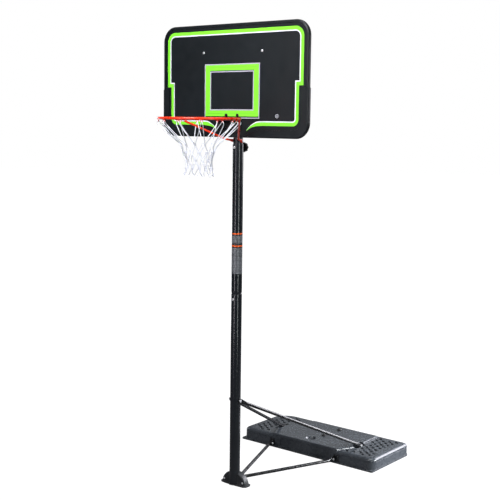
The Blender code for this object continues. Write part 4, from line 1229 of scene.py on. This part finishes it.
# ---------------------------------------------------------------- smaller CAD pieces with rounded edges
def build_hardware(mats):
    """Every bolt, nut, clip and bracket: its CAD shape, edges rounded."""
    stand, head = "stand", "hoop_head"
    pieces = []
    for side, _ in SIDES:
        pieces += [("brace_clip_" + side, 0.0004, "black_paint", stand),
                   ("strut_clip_" + side, 0.0006, "black_paint", stand),
                   ("brace_clip_bolt_" + side, 0.0004, "zinc", stand),
                   ("brace_clip_nut_" + side, 0.0004, "zinc", stand),
                   ("strut_clip_bolt_" + side, 0.0004, "zinc", stand),
                   ("strut_clip_nut_" + side, 0.0004, "zinc", stand),
                   ("foot_screw_" + side, 0.0003, "zinc", stand)]
        for kind, slot in (("upper_board", "zinc"), ("board", "black_zinc"), ("rim_bracket", "black_zinc")):
            pieces += [(kind + "_bolt_" + side, 0.0003, slot, head),
                       (kind + "_nut_" + side, 0.0004, slot, head)]
    crossing = (("strut_foot", stand), ("pole_joint", stand), ("brace_pivot", stand), ("rim_brace", head))
    for kind, body in crossing:
        pieces += [(kind + "_bolt", 0.0004, "zinc", body), (kind + "_nut", 0.0004, "zinc", body)]
    pieces += [("height_guide_bolt", 0.0003, "zinc", stand),
               ("rim_bracket", 0.0006, "black_paint", head),
               ("upper_board_bracket", 0.0005, "black_paint", head),
               ("lower_board_bracket", 0.0005, "black_paint", head),
               ("pole_cap", 0.0006, "black_plastic", head),
               ("fill_cap_front", 0.0005, "black_plastic", "front_cap"),
               ("fill_cap_rear", 0.0005, "black_plastic", "rear_cap")]
    for node, width, slot, body in pieces:
        rounded_copy(node, node + "_piece", width, mats[slot], body, slot)


# ---------------------------------------------------------------- stage, light and camera
def stage_material():
    """Pale studio floor that fades into the white backdrop; reflections see it darker."""
    sh = Shader("studio_floor", Specular_IOR_Level=0.25)
    away = sh.node("VectorMath", {0: sh.place}, operation="LENGTH").outputs["Value"]
    fade = sh.remap(away, 1.2, 3.4, 0.82, 1.0)
    tone = sh.mix(sh.remap(sh.noise(0.8), 0.3, 0.7), (0.90, 0.90, 0.905), (0.93, 0.93, 0.935))
    sh.set(Base_Color=tone, Roughness=sh.remap(sh.noise(3.0), 0.3, 0.7, 0.50, 0.62))
    glow = sh.node("Emission", {"Color": (1.0, 1.0, 1.0, 1.0), "Strength": 1.15})
    seen = sh.node("MixShader", {0: fade, 1: sh.bsdf.outputs[0], 2: glow.outputs[0]})
    dim = sh.node("BsdfDiffuse", {"Color": (0.16, 0.16, 0.165, 1.0)})
    direct = sh.node("LightPath").outputs["Is Camera Ray"]
    both = sh.node("MixShader", {0: direct, 1: dim.outputs[0], 2: seen.outputs[0]})
    sh.tree.links.new(both.outputs[0], sh.tree.nodes["Material Output"].inputs["Surface"])
    return sh.mat


def build_stage():
    bm = bmesh.new()
    bm.faces.new([bm.verts.new((x, y, -0.0005)) for x, y in circle(40.0, 96)])
    new_object("studio_floor", bm, stage_material())


def soft_box(name, place_at, aim_at, size, power, tint, spread=180.0):
    """A soft rectangular light that the camera itself doesn't see. spread is its grid's angle."""
    light = bpy.data.lights.new(name, "AREA")
    light.shape = "RECTANGLE"
    light.size, light.size_y = size
    light.energy = power
    light.color = tint
    light.spread = math.radians(spread)
    obj = bpy.data.objects.new(name, light)
    obj.location = place_at
    obj.rotation_euler = (Vector(aim_at) - Vector(place_at)).to_track_quat("-Z", "Y").to_euler()
    obj.visible_camera = False
    bpy.context.scene.collection.objects.link(obj)


def build_world():
    """A white backdrop for the camera and a dim room for everything else."""
    world = bpy.data.worlds.new("studio")
    world.use_nodes = True
    tree = world.node_tree
    path = tree.nodes.new("ShaderNodeLightPath")
    lit = tree.nodes["Background"]
    lit.inputs["Color"].default_value = (0.93, 0.96, 1.0, 1.0)
    lit.inputs["Strength"].default_value = 0.10
    seen = tree.nodes.new("ShaderNodeBackground")
    seen.inputs["Color"].default_value = (1.0, 1.0, 1.0, 1.0)
    seen.inputs["Strength"].default_value = 1.0
    both = tree.nodes.new("ShaderNodeMixShader")
    tree.links.new(path.outputs["Is Camera Ray"], both.inputs[0])
    tree.links.new(lit.outputs[0], both.inputs[1])
    tree.links.new(seen.outputs[0], both.inputs[2])
    tree.links.new(both.outputs[0], tree.nodes["World Output"].inputs["Surface"])
    bpy.context.scene.world = world


def build_lights():
    """Two tall strips in front, grids on the board and tank, and soft walls behind and to the left."""
    middle = (0.0, 0.0, 1.35)
    soft_box("strip_front", (-0.57, -4.13, 1.8), middle, (0.35, 3.8), 45.0, (1.0, 0.93, 1.0))
    soft_box("strip_right", (3.93, -1.56, 1.6), middle, (0.35, 3.6), 45.0, (0.93, 1.0, 0.97))
    soft_box("board_key", (0.6, -2.6, 4.2), (0.0, -0.06, 2.5), (1.4, 1.0), 26.0, (1.0, 1.0, 1.0), 70.0)
    soft_box("tank_key", (2.0, 1.6, 0.7), (0.56, 1.0, 0.05), (0.8, 0.6), 6.5, (0.95, 0.975, 1.0), 36.0)
    soft_box("shoulder_glow", (1.95, 4.5, 2.1), (0.55, 1.0, 0.08), (3.2, 2.4), 60.0, (0.94, 0.93, 1.0), 70.0)
    soft_box("wall_behind", (-2.2, 5.4, 2.1), (0.0, 0.95, 0.1), (3.2, 1.6), 7.0, (0.96, 0.98, 1.0))
    soft_box("wall_left", (-4.6, 1.9, 1.6), middle, (0.8, 4.2), 40.0, (0.88, 0.93, 1.0))
    soft_box("overhead", (0.6, 1.2, 4.6), (0.0, 0.9, 0.0), (2.0, 2.0), 18.0, (1.0, 1.0, 1.0), 80.0)


def build_camera():
    """The camera, from its place and its three turns in radians."""
    yaw, pitch, roll = 0.6772, -0.1283, 0.0125
    forward = Vector((-math.sin(yaw) * math.cos(pitch), math.cos(yaw) * math.cos(pitch), math.sin(pitch)))
    right = Vector((math.cos(yaw), math.sin(yaw), 0.0))
    up = right.cross(forward)
    x = right * math.cos(roll) + up * math.sin(roll)
    y = up * math.cos(roll) - right * math.sin(roll)
    data = bpy.data.cameras.new("photo_camera")
    data.sensor_width = 36.0
    data.lens = 71.89
    data.clip_end = 100.0
    camera = bpy.data.objects.new("photo_camera", data)
    turn = Matrix((x, y, -forward)).transposed().to_4x4()
    camera.matrix_world = Matrix.Translation((3.88448, -4.70367, 2.2845)) @ turn
    bpy.context.scene.collection.objects.link(camera)
    bpy.context.scene.camera = camera


def main():
    mats = {"pole_paint": pole_paint(), "black_paint": steel_paint(), "tank_plastic": tank_plastic(),
            "rim_paint": rim_paint(), "zinc": zinc(), "black_zinc": black_zinc(),
            "black_plastic": knob_plastic()}
    green = foil_print("foil_green", (0.21, 0.77, 0.036))
    white = foil_print("foil_white", (0.80, 0.80, 0.90))
    lilac = foil_print("foil_lilac", (0.46, 0.42, 0.53))
    build_tank(mats["tank_plastic"])
    build_foot(foot_plastic())
    build_tubes(mats["black_paint"])
    build_poles(mats["pole_paint"])
    build_label(label_ink("label_orange", (0.86, 0.115, 0.012)),
                label_ink("label_grey", (0.20, 0.21, 0.23)),
                label_ink("label_dark", (0.028, 0.030, 0.034)))
    build_knob(mats["black_plastic"])
    build_board(board_plastic())
    build_prints(green, white, lilac)
    build_ball_mark(white)
    build_rim(mats["rim_paint"])
    build_net(braided_cord())
    build_hardware(mats)
    build_stage()
    build_world()
    build_lights()
    build_camera()
    bpy.context.scene.view_settings.view_transform = "Standard"


main()
